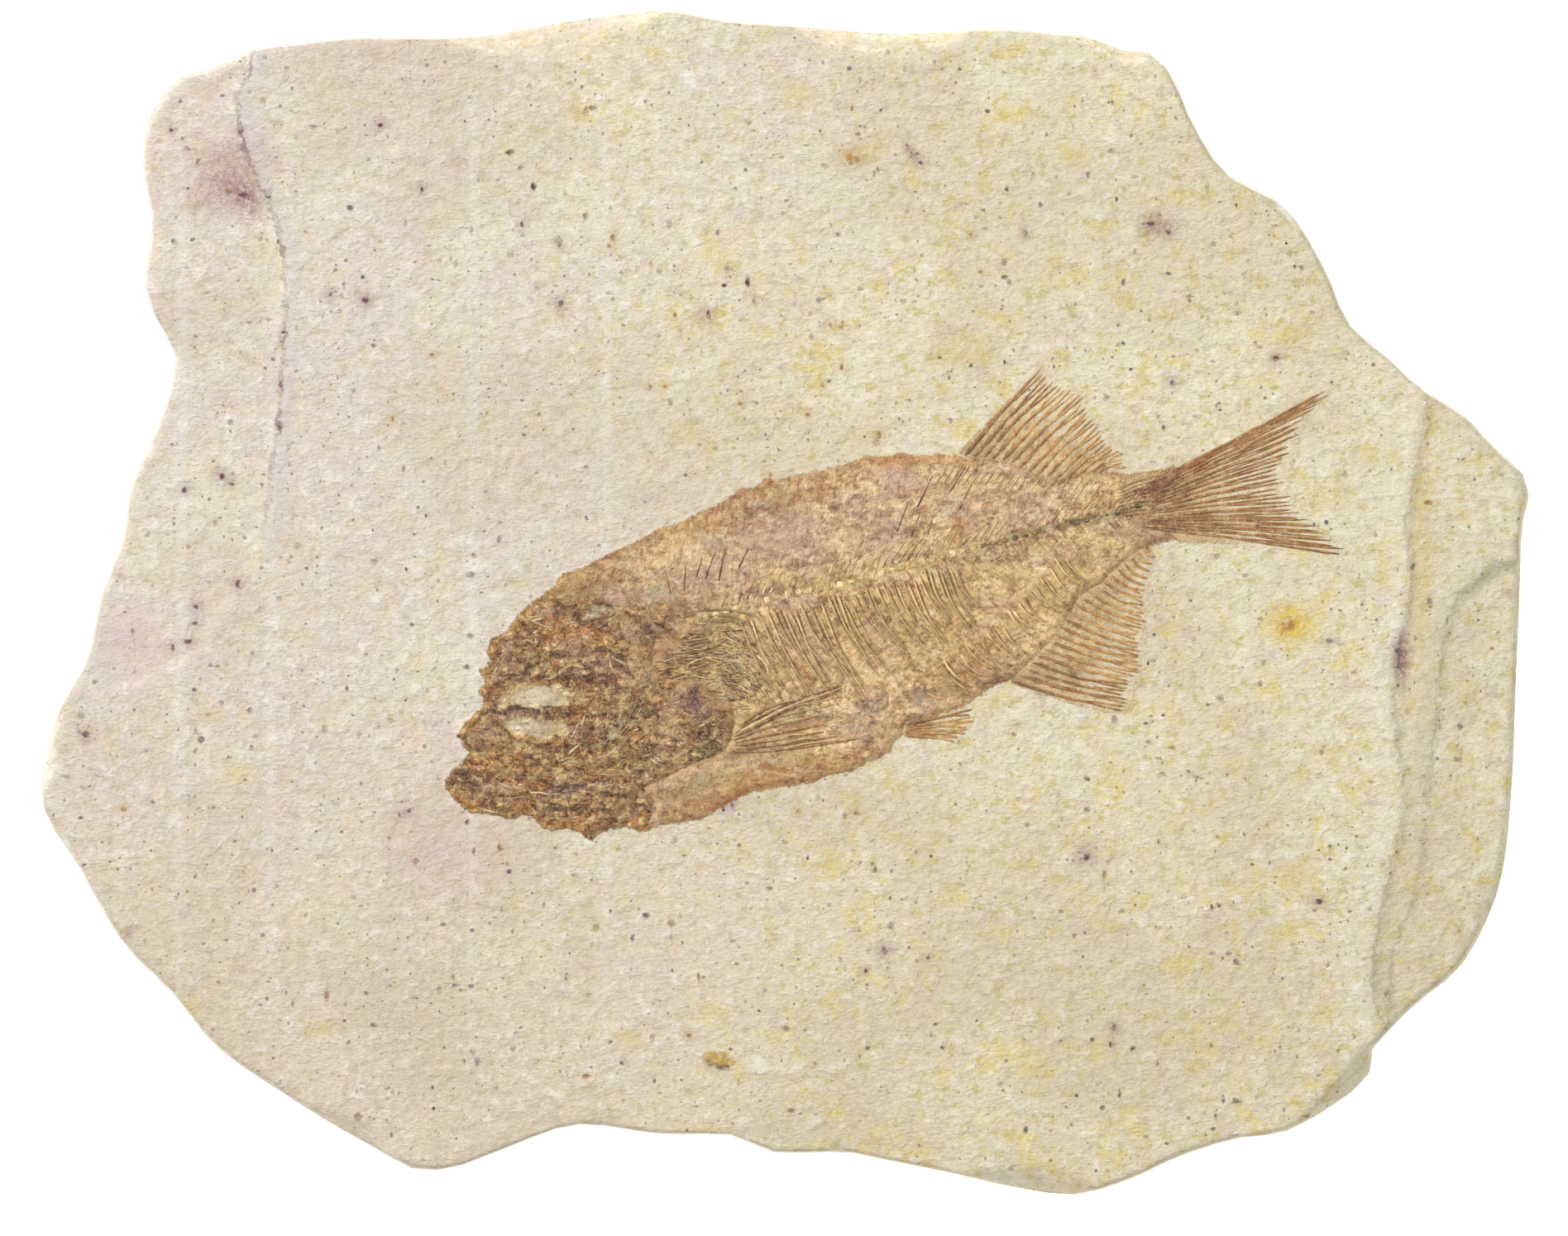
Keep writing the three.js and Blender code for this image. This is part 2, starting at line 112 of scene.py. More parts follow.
def noise(x: Array, y: Array, size: float, seed: int, octaves: int = 1) -> Array:
    """Smooth value noise: lattice values blended by a smooth step, halved per octave.

    Args:
        x: Horizontal place.
        y: Vertical place.
        size: Distance between lattice points of the widest octave.
        seed: Which random field.
        octaves: How many layers, each half as wide and half as strong.

    Returns:
        Values of about -1 to 1.
    """
    total = np.zeros(np.broadcast(x, y).shape)
    weight = 0.0
    for octave in range(octaves):
        u, v = x * 2**octave / size, y * 2**octave / size
        i, j = np.floor(u), np.floor(v)
        s, t = smooth(0.0, 1.0, u - i), smooth(0.0, 1.0, v - j)
        corner = [lattice(i + a, j + b, seed + 31 * octave) for b in (0, 1) for a in (0, 1)]
        low = corner[0] * (1 - s) + corner[1] * s
        high = corner[2] * (1 - s) + corner[3] * s
        total += (low * (1 - t) + high * t) * 0.5**octave
        weight += 0.5**octave
    return total / weight


def curve(points: Pairs, count: int, closed: bool = False) -> Array:
    """Evenly spaced points on a smooth curve through the given points.

    The curve is a Catmull-Rom spline; its length is measured on short chords.

    Args:
        points: Points the curve passes through.
        count: Number of points returned.
        closed: Whether the curve runs back to its start.

    Returns:
        Array of count by 2.
    """
    knots = np.array(points, dtype=float)
    if len(knots) == 2 and not closed:
        return knots[0] + (knots[1] - knots[0]) * np.linspace(0, 1, count)[:, None]
    if closed:
        knots = np.vstack([knots[-1:], knots, knots[:2]])
    else:
        knots = np.vstack([2 * knots[0] - knots[1], knots, 2 * knots[-1] - knots[-2]])
    t = np.linspace(0, 1, 12, endpoint=False)[None, :, None]
    a, b, c, d = (knots[k : len(knots) - 3 + k][:, None, :] for k in range(4))
    span = 0.5 * (
        2 * b + (c - a) * t + (2 * a - 5 * b + 4 * c - d) * t**2 + (3 * b - a - 3 * c + d) * t**3
    )
    fine = np.vstack([span.reshape(-1, 2), knots[-2:-1]])
    length = np.concatenate([[0], np.cumsum(np.linalg.norm(np.diff(fine, axis=0), axis=1))])
    at = np.linspace(0, length[-1], count + 1)[:-1] if closed else np.linspace(0, length[-1], count)
    return np.stack([np.interp(at, length, fine[:, k]) for k in (0, 1)], axis=1)


@dataclass
class Nearest:
    """What is known of the nearest place on a path."""

    distance: Array
    along: Array
    side: Array


def nearest(x: Array, y: Array, path: Array) -> Nearest:
    """Distance from each place to a path of straight pieces.

    Args:
        x: Horizontal place.
        y: Vertical place.
        path: Points of the path.

    Returns:
        Distance, distance run along the path, and side (+1 to its left, -1 to its right).
    """
    shape = x.shape
    px, py = x.ravel(), y.ravel()
    best = np.full(px.shape, 1e9)
    along = np.zeros(px.shape)
    side = np.ones(px.shape)
    run = 0.0
    for (ax, ay), (bx, by) in zip(path[:-1], path[1:]):
        dx, dy = bx - ax, by - ay
        length = math.hypot(dx, dy) or 1e-9
        share = np.clip(((px - ax) * dx + (py - ay) * dy) / length**2, 0.0, 1.0)
        gap = np.hypot(px - ax - share * dx, py - ay - share * dy)
        closer = gap < best
        best = np.where(closer, gap, best)
        along = np.where(closer, run + share * length, along)
        cross = dx * (py - ay) - dy * (px - ax)
        side = np.where(closer, np.where(cross >= 0, 1.0, -1.0), side)
        run += length
    return Nearest(best.reshape(shape), along.reshape(shape), side.reshape(shape))


def inside_distance(x: Array, y: Array, outline: Array) -> Array:
    """Distance to a closed outline, positive inside it and negative outside.

    Args:
        x: Horizontal place.
        y: Vertical place.
        outline: Points of the outline, in order.

    Returns:
        Signed distance.
    """
    ring = np.vstack([outline, outline[:1]])
    gap = nearest(x, y, ring).distance
    within = np.zeros(x.shape, dtype=bool)
    for (ax, ay), (bx, by) in zip(ring[:-1], ring[1:]):
        if ay == by:
            continue
        crosses = (ay > y) != (by > y)
        within ^= crosses & (x < (bx - ax) * (y - ay) / (by - ay) + ax)
    return np.where(within, gap, -gap)


# ------------------------------------------------------------------ paint


class Tint(Enum):
    """Colours of the stone, its stains and the fossil."""

    CREAM = (233, 222, 200)
    PALE = (236, 228, 202)
    WHITE = (240, 236, 228)
    ASH = (214, 208, 198)
    TAN = (196, 165, 122)
    SAND = (206, 180, 136)
    OCHRE = (196, 158, 84)
    YELLOW = (214, 192, 120)
    ORANGE = (182, 124, 62)
    RUST = (158, 98, 50)
    BROWN = (144, 101, 66)
    RED = (130, 80, 54)
    DARK = (88, 56, 44)
    BLACK = (58, 42, 36)
    LILAC = (190, 156, 142)
    MAUVE = (150, 110, 110)
    WINE = (172, 132, 128)
    PURPLE = (106, 70, 84)
    GOLD = (222, 194, 84)
    OLIVE = (146, 128, 80)
    MOSS = (122, 108, 62)
    GREY = (188, 180, 154)
    SLATE = (92, 96, 98)
    PINK = (214, 184, 180)
    ROSE = (220, 186, 166)
    IVORY = (250, 240, 204)
    HEAD = (212, 154, 92)
    AMBER = (222, 172, 84)
    NECK = (190, 150, 106)
    KHAKI = (184, 164, 104)
    BODY = (248, 218, 168)
    RAY = (162, 116, 70)
    RAY_TIP = (194, 150, 92)

    @property
    def rgb(self) -> Array:
        """Linear colour."""
        return srgb(*self.value)


@dataclass(frozen=True)
class Mark:
    """One stroke or blot of colour, with the relief it stands for.

    A single point with a size makes an oval blot; more points make a stroke.
    """

    tint: Tint
    points: tuple[tuple[float, float], ...]
    width: float
    strength: float = 0.8
    height: float = 0.0
    across: float = 0.0
    angle: float = 0.0
    soft: float = 0.35

    def mask(self, x: Array, y: Array, ragged: Array) -> Array:
        """How much of the mark lies at each place.

        Args:
            x: Horizontal place.
            y: Vertical place.
            ragged: Noise of about -1 to 1 that roughens the border.

        Returns:
            Values between 0 and 1.
        """
        if len(self.points) == 1:
            turn = math.radians(self.angle)
            dx, dy = x - self.points[0][0], y - self.points[0][1]
            u = dx * math.cos(turn) + dy * math.sin(turn)
            v = -dx * math.sin(turn) + dy * math.cos(turn)
            half = self.across or self.width
            share = np.hypot(u / self.width, v / half) * (1 + 0.3 * ragged)
            return smooth(1 + self.soft, 1 - self.soft, share)
        path = curve(self.points, max(8, 5 * len(self.points)))
        near = nearest(x, y, path)
        total = float(np.linalg.norm(np.diff(path, axis=0), axis=1).sum())
        swell = 0.35 + 0.65 * np.sqrt(np.clip(np.sin(np.pi * near.along / total), 0, 1))
        gap = near.distance + 0.16 * ragged
        return smooth(0.5 * self.width * swell + self.soft * 0.4,
                      0.5 * self.width * swell - self.soft * 0.4, gap)


def blot(tint: Tint, x: float, y: float, width: float, across: float = 0.0, angle: float = 0.0,
         strength: float = 0.8, height: float = 0.0, soft: float = 0.35) -> Mark:
    """Oval mark; width and across are half sizes."""
    return Mark(tint, ((x, y),), width, strength, height, across, angle, soft)


def stroke(tint: Tint, width: float, *points: tuple[float, float], strength: float = 0.8,
           height: float = 0.0, soft: float = 0.35) -> Mark:
    """Mark drawn along points."""
    return Mark(tint, tuple(points), width, strength, height, 0.0, 0.0, soft)


@dataclass
class Painted:
    """Colour and relief that marks leave on a surface."""

    colour: Array
    height: Array
    cover: Array
    crumple: Optional[Array] = None


def paint(x: Array, y: Array, ground: Array, marks: Sequence[Mark], seed: int) -> Painted:
    """Lays marks over a ground colour, one after the other.

    The places are first bent by noise and each mark is broken up by a finer noise, so that
    borders are torn rather than drawn.

    Args:
        x: Horizontal place.
        y: Vertical place.
        ground: Colour below the marks, one row of three per place.
        marks: Marks in order.
        seed: Random field that roughens their borders.

    Returns:
        Colour, relief in mm, and the largest cover of any mark.
    """
    ragged = 0.6 * noise(x, y, 1.6, seed, 2) + 0.4 * noise(x, y, 0.5, seed + 7)
    bent_x = x + 0.55 * noise(x, y, 1.5, seed + 3, 3)
    bent_y = y + 0.55 * noise(x, y, 1.5, seed + 4, 3)
    broken = np.clip(1.0 + 1.0 * noise(x, y, 0.9, seed + 5, 2), 0.3, 1.25)
    colour = np.array(ground, dtype=float)
    height = np.zeros(x.shape)
    cover = np.zeros(x.shape)
    for mark in marks:
        mask = np.clip(mark.mask(bent_x, bent_y, ragged) * mark.strength * broken, 0, 1)
        colour += (mark.tint.rgb - colour) * mask[:, None]
        height += mark.height * mask
        cover = np.maximum(cover, mask)
    return Painted(colour, height, cover)


# ------------------------------------------------------------------ meshes


def add_mesh(name: str, points: Array, faces: Array, smooth_shade: bool = True) -> bpy.types.Object:
    """Makes an object from points in mm and an array of faces.

    Args:
        name: Name of the object.
        points: Corner places, count by 3.
        faces: Corner numbers, count by 3 or 4.
        smooth_shade: Whether faces share soft normals.

    Returns:
        The new object, linked to the scene.
    """
    mesh = bpy.data.meshes.new(name)
    size = faces.shape[1]
    mesh.vertices.add(len(points))
    mesh.vertices.foreach_set("co", (np.asarray(points) * MM).astype(np.float32).ravel())
    mesh.loops.add(faces.size)
    mesh.loops.foreach_set("vertex_index", faces.astype(np.int32).ravel())
    mesh.polygons.add(len(faces))
    mesh.polygons.foreach_set("loop_start", np.arange(0, faces.size, size, dtype=np.int32))
    mesh.polygons.foreach_set("loop_total", np.full(len(faces), size, dtype=np.int32))
    mesh.polygons.foreach_set("use_smooth", np.full(len(faces), smooth_shade))
    mesh.update(calc_edges=True)
    mesh.validate()
    made = bpy.data.objects.new(name, mesh)
    bpy.context.scene.collection.objects.link(made)
    return made


def set_number(piece: bpy.types.Object, name: str, values: Array) -> None:
    """Stores one number per corner point as a named attribute."""
    layer = piece.data.attributes.new(name, "FLOAT", "POINT")
    layer.data.foreach_set("value", np.asarray(values, dtype=np.float32))


def set_vector(piece: bpy.types.Object, name: str, values: Array) -> None:
    """Stores one vector per corner point as a named attribute."""
    layer = piece.data.attributes.new(name, "FLOAT_VECTOR", "POINT")
    layer.data.foreach_set("vector", np.asarray(values, dtype=np.float32).ravel())


def set_colour(piece: bpy.types.Object, name: str, rgb: Array, alpha: Optional[Array] = None) -> None:
    """Stores one linear colour per corner point as a named attribute."""
    layer = piece.data.attributes.new(name, "FLOAT_COLOR", "POINT")
    fourth = np.ones(len(rgb)) if alpha is None else alpha
    layer.data.foreach_set("color", np.column_stack([rgb, fourth]).astype(np.float32).ravel())


# ------------------------------------------------------------------ shader building


class Nodes:
    """Short way to write node trees."""

    def __init__(self, tree: bpy.types.NodeTree) -> None:
        """Builder for one node tree."""
        self.tree = tree

    def times(self, a: object, b: object) -> bpy.types.NodeSocket:
        """Product of two numbers."""
        return self.math("MULTIPLY", a, b)

    def sum(self, a: object, b: object) -> bpy.types.NodeSocket:
        """Sum of two numbers."""
        return self.math("ADD", a, b)

    def minus(self, a: object, b: object) -> bpy.types.NodeSocket:
        """Difference of two numbers."""
        return self.math("SUBTRACT", a, b)

    def size_of(self, a: object) -> bpy.types.NodeSocket:
        """Number without its sign."""
        return self.math("ABSOLUTE", a)

    def add(self, kind: str, **facts: object) -> bpy.types.Node:
        """Adds a node and sets its own properties."""
        node = self.tree.nodes.new(kind)
        for key, value in facts.items():
            setattr(node, key, value)
        return node

    def feed(self, socket: bpy.types.NodeSocket, value: object) -> None:
        """Links a socket to another, or sets its constant value."""
        if isinstance(value, bpy.types.NodeSocket):
            self.tree.links.new(value, socket)
        else:
            socket.default_value = value

    def math(self, what: str, a: object, b: object = 0.0, clamp: bool = False) -> bpy.types.NodeSocket:
        """One arithmetic step."""
        node = self.add("ShaderNodeMath", operation=what, use_clamp=clamp)
        self.feed(node.inputs[0], a)
        self.feed(node.inputs[1], b)
        return node.outputs[0]

    def step(self, value: object, low: float, high: float, to_low: float = 0.0,
             to_high: float = 1.0) -> bpy.types.NodeSocket:
        """Smooth step of a value between two bounds."""
        node = self.add("ShaderNodeMapRange", interpolation_type="SMOOTHSTEP")
        for socket, item in zip(node.inputs, (value, low, high, to_low, to_high)):
            self.feed(socket, item)
        return node.outputs[0]

    def mix(self, share: object, a: object, b: object, how: str = "MIX") -> bpy.types.NodeSocket:
        """Blend of two colours.

        Args:
            share: Weight of the second colour, 0 to 1.
            a: First colour.
            b: Second colour.
            how: Blend type.

        Returns:
            Socket that carries the blend.
        """
        node = self.add("ShaderNodeMix", data_type="RGBA", blend_type=how)
        self.feed(node.inputs[0], share)
        self.feed(node.inputs[6], a)
        self.feed(node.inputs[7], b)
        return node.outputs[2]

    def scaled(self, vector: object, x: float, y: float, z: float) -> bpy.types.NodeSocket:
        """Vector with each component multiplied."""
        node = self.add("ShaderNodeVectorMath", operation="MULTIPLY")
        self.feed(node.inputs[0], vector)
        self.feed(node.inputs[1], (x, y, z))
        return node.outputs[0]

    def plus(self, a: object, b: object) -> bpy.types.NodeSocket:
        """Sum of two vectors."""
        node = self.add("ShaderNodeVectorMath", operation="ADD")
        self.feed(node.inputs[0], a)
        self.feed(node.inputs[1], b)
        return node.outputs[0]

    def noise(self, vector: object, scale: float, detail: float = 2.0, rough: float = 0.5,
              warp: float = 0.0) -> bpy.types.NodeSocket:
        """Fractal noise of about 0 to 1.

        Args:
            vector: Where the noise is read.
            scale: Scale; larger is finer.
            detail: Octaves.
            rough: Weight of the finer octaves.
            warp: Distortion.

        Returns:
            Socket that carries the noise.
        """
        node = self.add("ShaderNodeTexNoise", noise_dimensions="3D")
        self.feed(node.inputs["Vector"], vector)
        node.inputs["Scale"].default_value = scale
        node.inputs["Detail"].default_value = detail
        node.inputs["Roughness"].default_value = rough
        node.inputs["Distortion"].default_value = warp
        return node.outputs[0]

    def axes(self, vector: object) -> list[bpy.types.NodeSocket]:
        """The three components of a vector."""
        node = self.add("ShaderNodeSeparateXYZ")
        self.feed(node.inputs[0], vector)
        return list(node.outputs)

    @staticmethod
    def tone(red: float, green: float, blue: float) -> tuple[float, float, float, float]:
        """Colour value from display values of 0 to 255."""
        return (*[float(v) for v in srgb(red, green, blue)], 1.0)

    def red(self, colour: bpy.types.NodeSocket) -> bpy.types.NodeSocket:
        """Red component of a colour."""
        node = self.add("ShaderNodeSeparateColor")
        self.feed(node.inputs[0], colour)
        return node.outputs[0]

    def cells(self, vector: object, scale: float) -> bpy.types.Node:
        """Voronoi cells: distance to the centre and one colour per cell."""
        node = self.add("ShaderNodeTexVoronoi", voronoi_dimensions="3D", feature="F1")
        self.feed(node.inputs["Vector"], vector)
        node.inputs["Scale"].default_value = scale
        return node


def new_group(name: str, inputs: Sequence[tuple[str, str]],
              outputs: Sequence[tuple[str, str]]) -> tuple[bpy.types.NodeTree, Nodes, bpy.types.Node,
                                                           bpy.types.Node]:
    """Makes a shader node group with named sockets.

    Args:
        name: Name of the group.
        inputs: Socket name and type of each input.
        outputs: Socket name and type of each output.

    Returns:
        The group, its builder, its input node and its output node.
    """
    tree = bpy.data.node_groups.new(name, "ShaderNodeTree")
    for label, kind in inputs:
        tree.interface.new_socket(name=label, in_out="INPUT", socket_type=kind)
    for label, kind in outputs:
        tree.interface.new_socket(name=label, in_out="OUTPUT", socket_type=kind)
    build = Nodes(tree)
    return tree, build, build.add("NodeGroupInput"), build.add("NodeGroupOutput")


FLOAT, COLOR, VECTOR = "NodeSocketFloat", "NodeSocketColor", "NodeSocketVector"


@dataclass(frozen=True)
class Limestone:
    """Fine cream limestone with pink, green and grey clouds, streaks and specks."""

    cloud_size: float = 26.0
    grain_size: float = 0.35
    speck_spacing: float = 2.1

    def group(self) -> bpy.types.NodeTree:
        """Builds the node group.

        Returns:
            Group with inputs Place (mm), Stain, Stain Strength and Ledge (distance past each of
            three ledges, in mm) and outputs Color, Roughness and Height.
        """
        tree, b, given, out = new_group(
            "limestone",
            [("Place", VECTOR), ("Stain", COLOR), ("Stain Strength", FLOAT), ("Ledge", VECTOR)],
            [("Color", COLOR), ("Roughness", FLOAT), ("Height", FLOAT)],
        )
        place = given.outputs["Place"]
        axes = b.axes(place)
        cloud = 1.0 / self.cloud_size
        wide = b.noise(place, cloud, 4.0, 0.55)
        across = b.sum(axes[0], b.times(b.minus(wide, 0.5), 190.0))
        colour = b.mix(b.step(across, 60.0, -75.0), b.tone(228, 218, 186), b.tone(221, 208, 197))
        green = b.step(b.noise(b.plus(place, (91.0, 17.0, 5.0)), cloud * 1.3, 5.0, 0.6), 0.46, 0.68)
        colour = b.mix(b.times(green, 0.5), colour, b.tone(228, 223, 192))
        # painted shade: the stone darker towards the bottom
        colour = b.mix(b.step(axes[1], 10.0, -70.0, 0.0, 0.5), colour, b.tone(210, 196, 164))
        # clots of ochre, olive and pink
        warm = b.step(across, -60.0, 40.0, 0.25, 1.0)
        for shift, scale, low, high, share, tone in (
            ((7.0, 130.0, 1.0), 0.24, 0.52, 0.66, b.times(warm, 0.85), b.tone(224, 204, 128)),
            ((57.0, 30.0, 6.0), 0.5, 0.54, 0.64, b.times(warm, 0.8), b.tone(206, 190, 116)),
            ((77.0, -40.0, 2.0), 0.3, 0.55, 0.68, 0.5, b.tone(232, 204, 172)),
            ((207.0, -30.0, 3.0), 0.2, 0.55, 0.7, 0.6, b.tone(214, 190, 184)),
            ((17.0, -90.0, 8.0), 0.9, 0.63, 0.74, 0.55, b.tone(178, 150, 128)),
        ):
            clot = b.noise(b.plus(place, shift), scale, 5.0, 0.66)
            colour = b.mix(b.times(b.step(clot, low, high), share), colour, tone)
        # plaster-like lumps, then grain: the pale tone on their crests is painted highlight and the dark
        # tone in their hollows is painted shade, over the same bump
        lump = b.noise(b.scaled(place, 0.9, 1.15, 1.0), 0.5, 6.0, 0.66, 0.25)
        grain = b.noise(b.scaled(place, 0.62, 1.45, 1.0), 0.75 / self.grain_size, 4.0, 0.72)
        for source in (lump, grain):
            colour = b.mix(b.step(source, 0.52, 0.7, 0.0, 0.62), colour, b.tone(246, 240, 229))
            colour = b.mix(b.step(source, 0.47, 0.3, 0.0, 0.55), colour, b.tone(190, 172, 138))
        # beds seen on the broken edge
        bed = b.noise(b.scaled(place, 0.03, 0.03, 1.3), 1.0, 3.0, 0.6)
        colour = b.mix(b.step(bed, 0.56, 0.42, 0.0, 0.22), colour, b.tone(188, 168, 136))
        # dark specks of three sizes
        specks = [
            (1.0 / self.speck_spacing, 0.05, 0.15, 0.4, b.tone(104, 90, 84)),
            (1.0 / 0.95, 0.1, 0.22, 0.3, b.tone(124, 102, 82)),
            (1.0 / 5.2, 0.03, 0.07, 0.5, b.tone(70, 70, 78)),
        ]
        pits: Optional[bpy.types.NodeSocket] = None
        bent = b.plus(place, b.scaled(self._wander(b, place), 0.7, 0.7, 0.7))
        patchy = b.step(b.noise(place, 0.12, 2.0), 0.36, 0.6, 0.25, 1.0)
        for scale, near, far, share, tone in specks:
            cells = b.cells(bent, scale)
            chosen = b.step(b.red(cells.outputs["Color"]), 1.0 - share, 1.0 - share + 0.05)
            spot = b.times(b.step(cells.outputs["Distance"], far, near), chosen)
            spot = b.times(spot, patchy)
            colour = b.mix(b.times(spot, 0.8), colour, tone)
            pits = spot if pits is None else b.math("MAXIMUM", pits, spot)
        # stains given in the mesh, broken up by the grain
        broken = b.step(b.noise(place, 1.3, 5.0, 0.7), 0.34, 0.6, 0.4, 1.2)
        amount = b.math("MULTIPLY", given.outputs["Stain Strength"], broken, clamp=True)
        colour = b.mix(amount, colour, given.outputs["Stain"])
        # ledges: a torn dark foot line, partly the stain there and partly painted shadow at the foot of
        # each step, and on its upper side a pale riser, partly the pale broken wall and partly painted
        # light on it
        drop: object = 0.0
        rough = b.times(b.minus(b.noise(place, 0.5, 6.0, 0.68), 0.5), 3.4)
        torn = b.step(b.noise(place, 0.22, 4.0, 0.65), 0.44, 0.6)
        upper = b.step(axes[1], -12.0, 25.0, 0.15, 1.0)
        for part, weight, lit_riser, line, width in (
            (0, upper, b.tone(212, 203, 197), b.tone(146, 116, 116), 2.4),
            (1, 0.4, b.tone(238, 230, 222), b.tone(176, 150, 140), 4.5),
            (2, 0.5, b.tone(200, 192, 168), b.tone(172, 158, 130), 3.0),
        ):
            gap = b.sum(b.axes(given.outputs["Ledge"])[part], rough)
            face = b.times(b.step(gap, -width, -0.7 * width), b.step(gap, 0.0, -0.3))
            # painted shadow along the foot of the step, painted light on the riser above it
            foot = b.times(b.step(b.size_of(gap), 0.5, 0.05), torn)
            colour = b.mix(b.times(b.times(face, weight), 0.55), colour, lit_riser)
            colour = b.mix(b.times(b.times(foot, weight), 0.55), colour, line)
            drop = b.sum(drop, b.times(b.step(gap, -0.5, 0.5), weight))
        b.feed(out.inputs["Color"], colour)
        b.feed(out.inputs["Roughness"], b.step(grain, 0.2, 0.8, 0.84, 0.97))
        height = b.sum(b.times(lump, 0.72), b.times(grain, 0.22))
        height = b.minus(height, b.times(pits, 0.04))
        height = b.minus(height, b.times(drop, 0.34))
        b.feed(out.inputs["Height"], height)
        return tree

    @staticmethod
    def _wander(b: Nodes, place: bpy.types.NodeSocket) -> bpy.types.NodeSocket:
        """Noise vector that bends the specks out of round."""
        node = b.add("ShaderNodeTexNoise", noise_dimensions="3D")
        b.feed(node.inputs["Vector"], place)
        node.inputs["Scale"].default_value = 1.7
        node.inputs["Detail"].default_value = 2.0
        return node.outputs["Color"]


@dataclass(frozen=True)
class FossilBone:
    """Mineralised bone: painted colour broken into flecks, cracks, fibres and grains, with painted
    highlights on their crests and painted shade in their hollows.
    """

    fleck_size: float = 1.1
    fibre_width: float = 0.42

    def group(self) -> bpy.types.NodeTree:
        """Builds the node group.

        Returns:
            Group with inputs Place (mm), Paint, Fibre (mm across, mm along), Fibre Strength and
            Crumple, and outputs Color, Roughness and Height.
        """
        tree, b, given, out = new_group(
            "fossil_bone",
            [("Place", VECTOR), ("Paint", COLOR), ("Fibre", VECTOR), ("Fibre Strength", FLOAT),
             ("Crumple", FLOAT)],
            [("Color", COLOR), ("Roughness", FLOAT), ("Height", FLOAT)],
        )
        place = given.outputs["Place"]
        colour = given.outputs["Paint"]
        crumple = given.outputs["Crumple"]
        # splinters and hollows: painted shade in the low spots and painted highlight on the high spots of
        # the same bump
        fleck = b.noise(place, 1.0 / self.fleck_size, 5.0, 0.66, 0.4)
        contrast = b.step(crumple, 0.2, 0.95, 0.38, 1.0)
        hollow_shade = b.mix(1.0, colour, b.tone(146, 102, 72), "MULTIPLY")
        light = b.mix(0.6, colour, b.tone(254, 232, 180))
        colour = b.mix(b.times(b.step(fleck, 0.46, 0.37), contrast), colour, hollow_shade)
        colour = b.mix(b.times(b.step(fleck, 0.53, 0.62), contrast), colour, light)
        # thin cracks of a crumpled crust: painted shade in each crack and a painted highlight on its lip
        bend = b.noise(b.scaled(place, 1.0, 1.3, 1.0), 0.6, 6.0, 0.66, 0.8)
        gap = b.size_of(b.minus(bend, 0.5))
        crack = b.times(b.step(gap, 0.026, 0.004), crumple)
        lip_highlight = b.times(b.step(b.size_of(b.minus(gap, 0.05)), 0.026, 0.0), crumple)
        colour = b.mix(b.times(lip_highlight, 0.5), colour, b.tone(244, 224, 176))
        colour = b.mix(b.times(crack, 0.85), colour, b.mix(1.0, colour, b.tone(106, 72, 54), "MULTIPLY"))
        # fibres: painted shade in the grooves and painted highlight on the ridges, over their bump
        along = b.scaled(given.outputs["Fibre"], 1.0 / self.fibre_width, 0.14 / self.fibre_width, 1.0)
        fibre = b.noise(along, 1.0, 3.0, 0.6, 0.3)
        patchy = b.step(b.noise(place, 0.3, 3.0, 0.6), 0.36, 0.6, 0.3, 1.0)
        strength = b.times(given.outputs["Fibre Strength"], patchy)
        groove_shade = b.times(b.step(fibre, 0.48, 0.36), strength)
        ridge = b.times(b.step(fibre, 0.53, 0.65), strength)
        groove_shade_tone = b.mix(1.0, colour, b.tone(172, 136, 98), "MULTIPLY")
        colour = b.mix(b.times(groove_shade, 0.9), colour, groove_shade_tone)
        colour = b.mix(b.times(ridge, 0.6), colour, b.tone(242, 226, 190))
        # grain: painted shade on the low grains and painted highlight on the high ones, over their bump
        grain = b.noise(place, 3.4, 3.0, 0.7)
        colour = b.mix(b.step(grain, 0.46, 0.32, 0.0, 0.4), colour,
                       b.mix(1.0, colour, b.tone(140, 104, 80), "MULTIPLY"))
        colour = b.mix(b.step(grain, 0.56, 0.7, 0.0, 0.36), colour, b.tone(244, 228, 190))
        # warm, iron-stained cast, strongest in the crust
        warm = b.mix(1.0, colour, (1.2, 1.07, 0.9, 1.0), "MULTIPLY")
        colour = b.mix(b.step(crumple, 0.0, 1.0, 0.2, 1.0), colour, warm)
        b.feed(out.inputs["Color"], colour)
        b.feed(out.inputs["Roughness"], b.step(fleck, 0.3, 0.7, 0.5, 0.85))
        height = b.times(fleck, b.sum(0.3, contrast))
        height = b.sum(height, b.times(b.minus(ridge, groove_shade), 0.08))
        height = b.sum(height, b.times(grain, 0.1))
        height = b.sum(height, b.times(b.times(b.step(gap, 0.0, 0.1), crumple), 0.22))
        b.feed(out.inputs["Height"], height)
        return tree


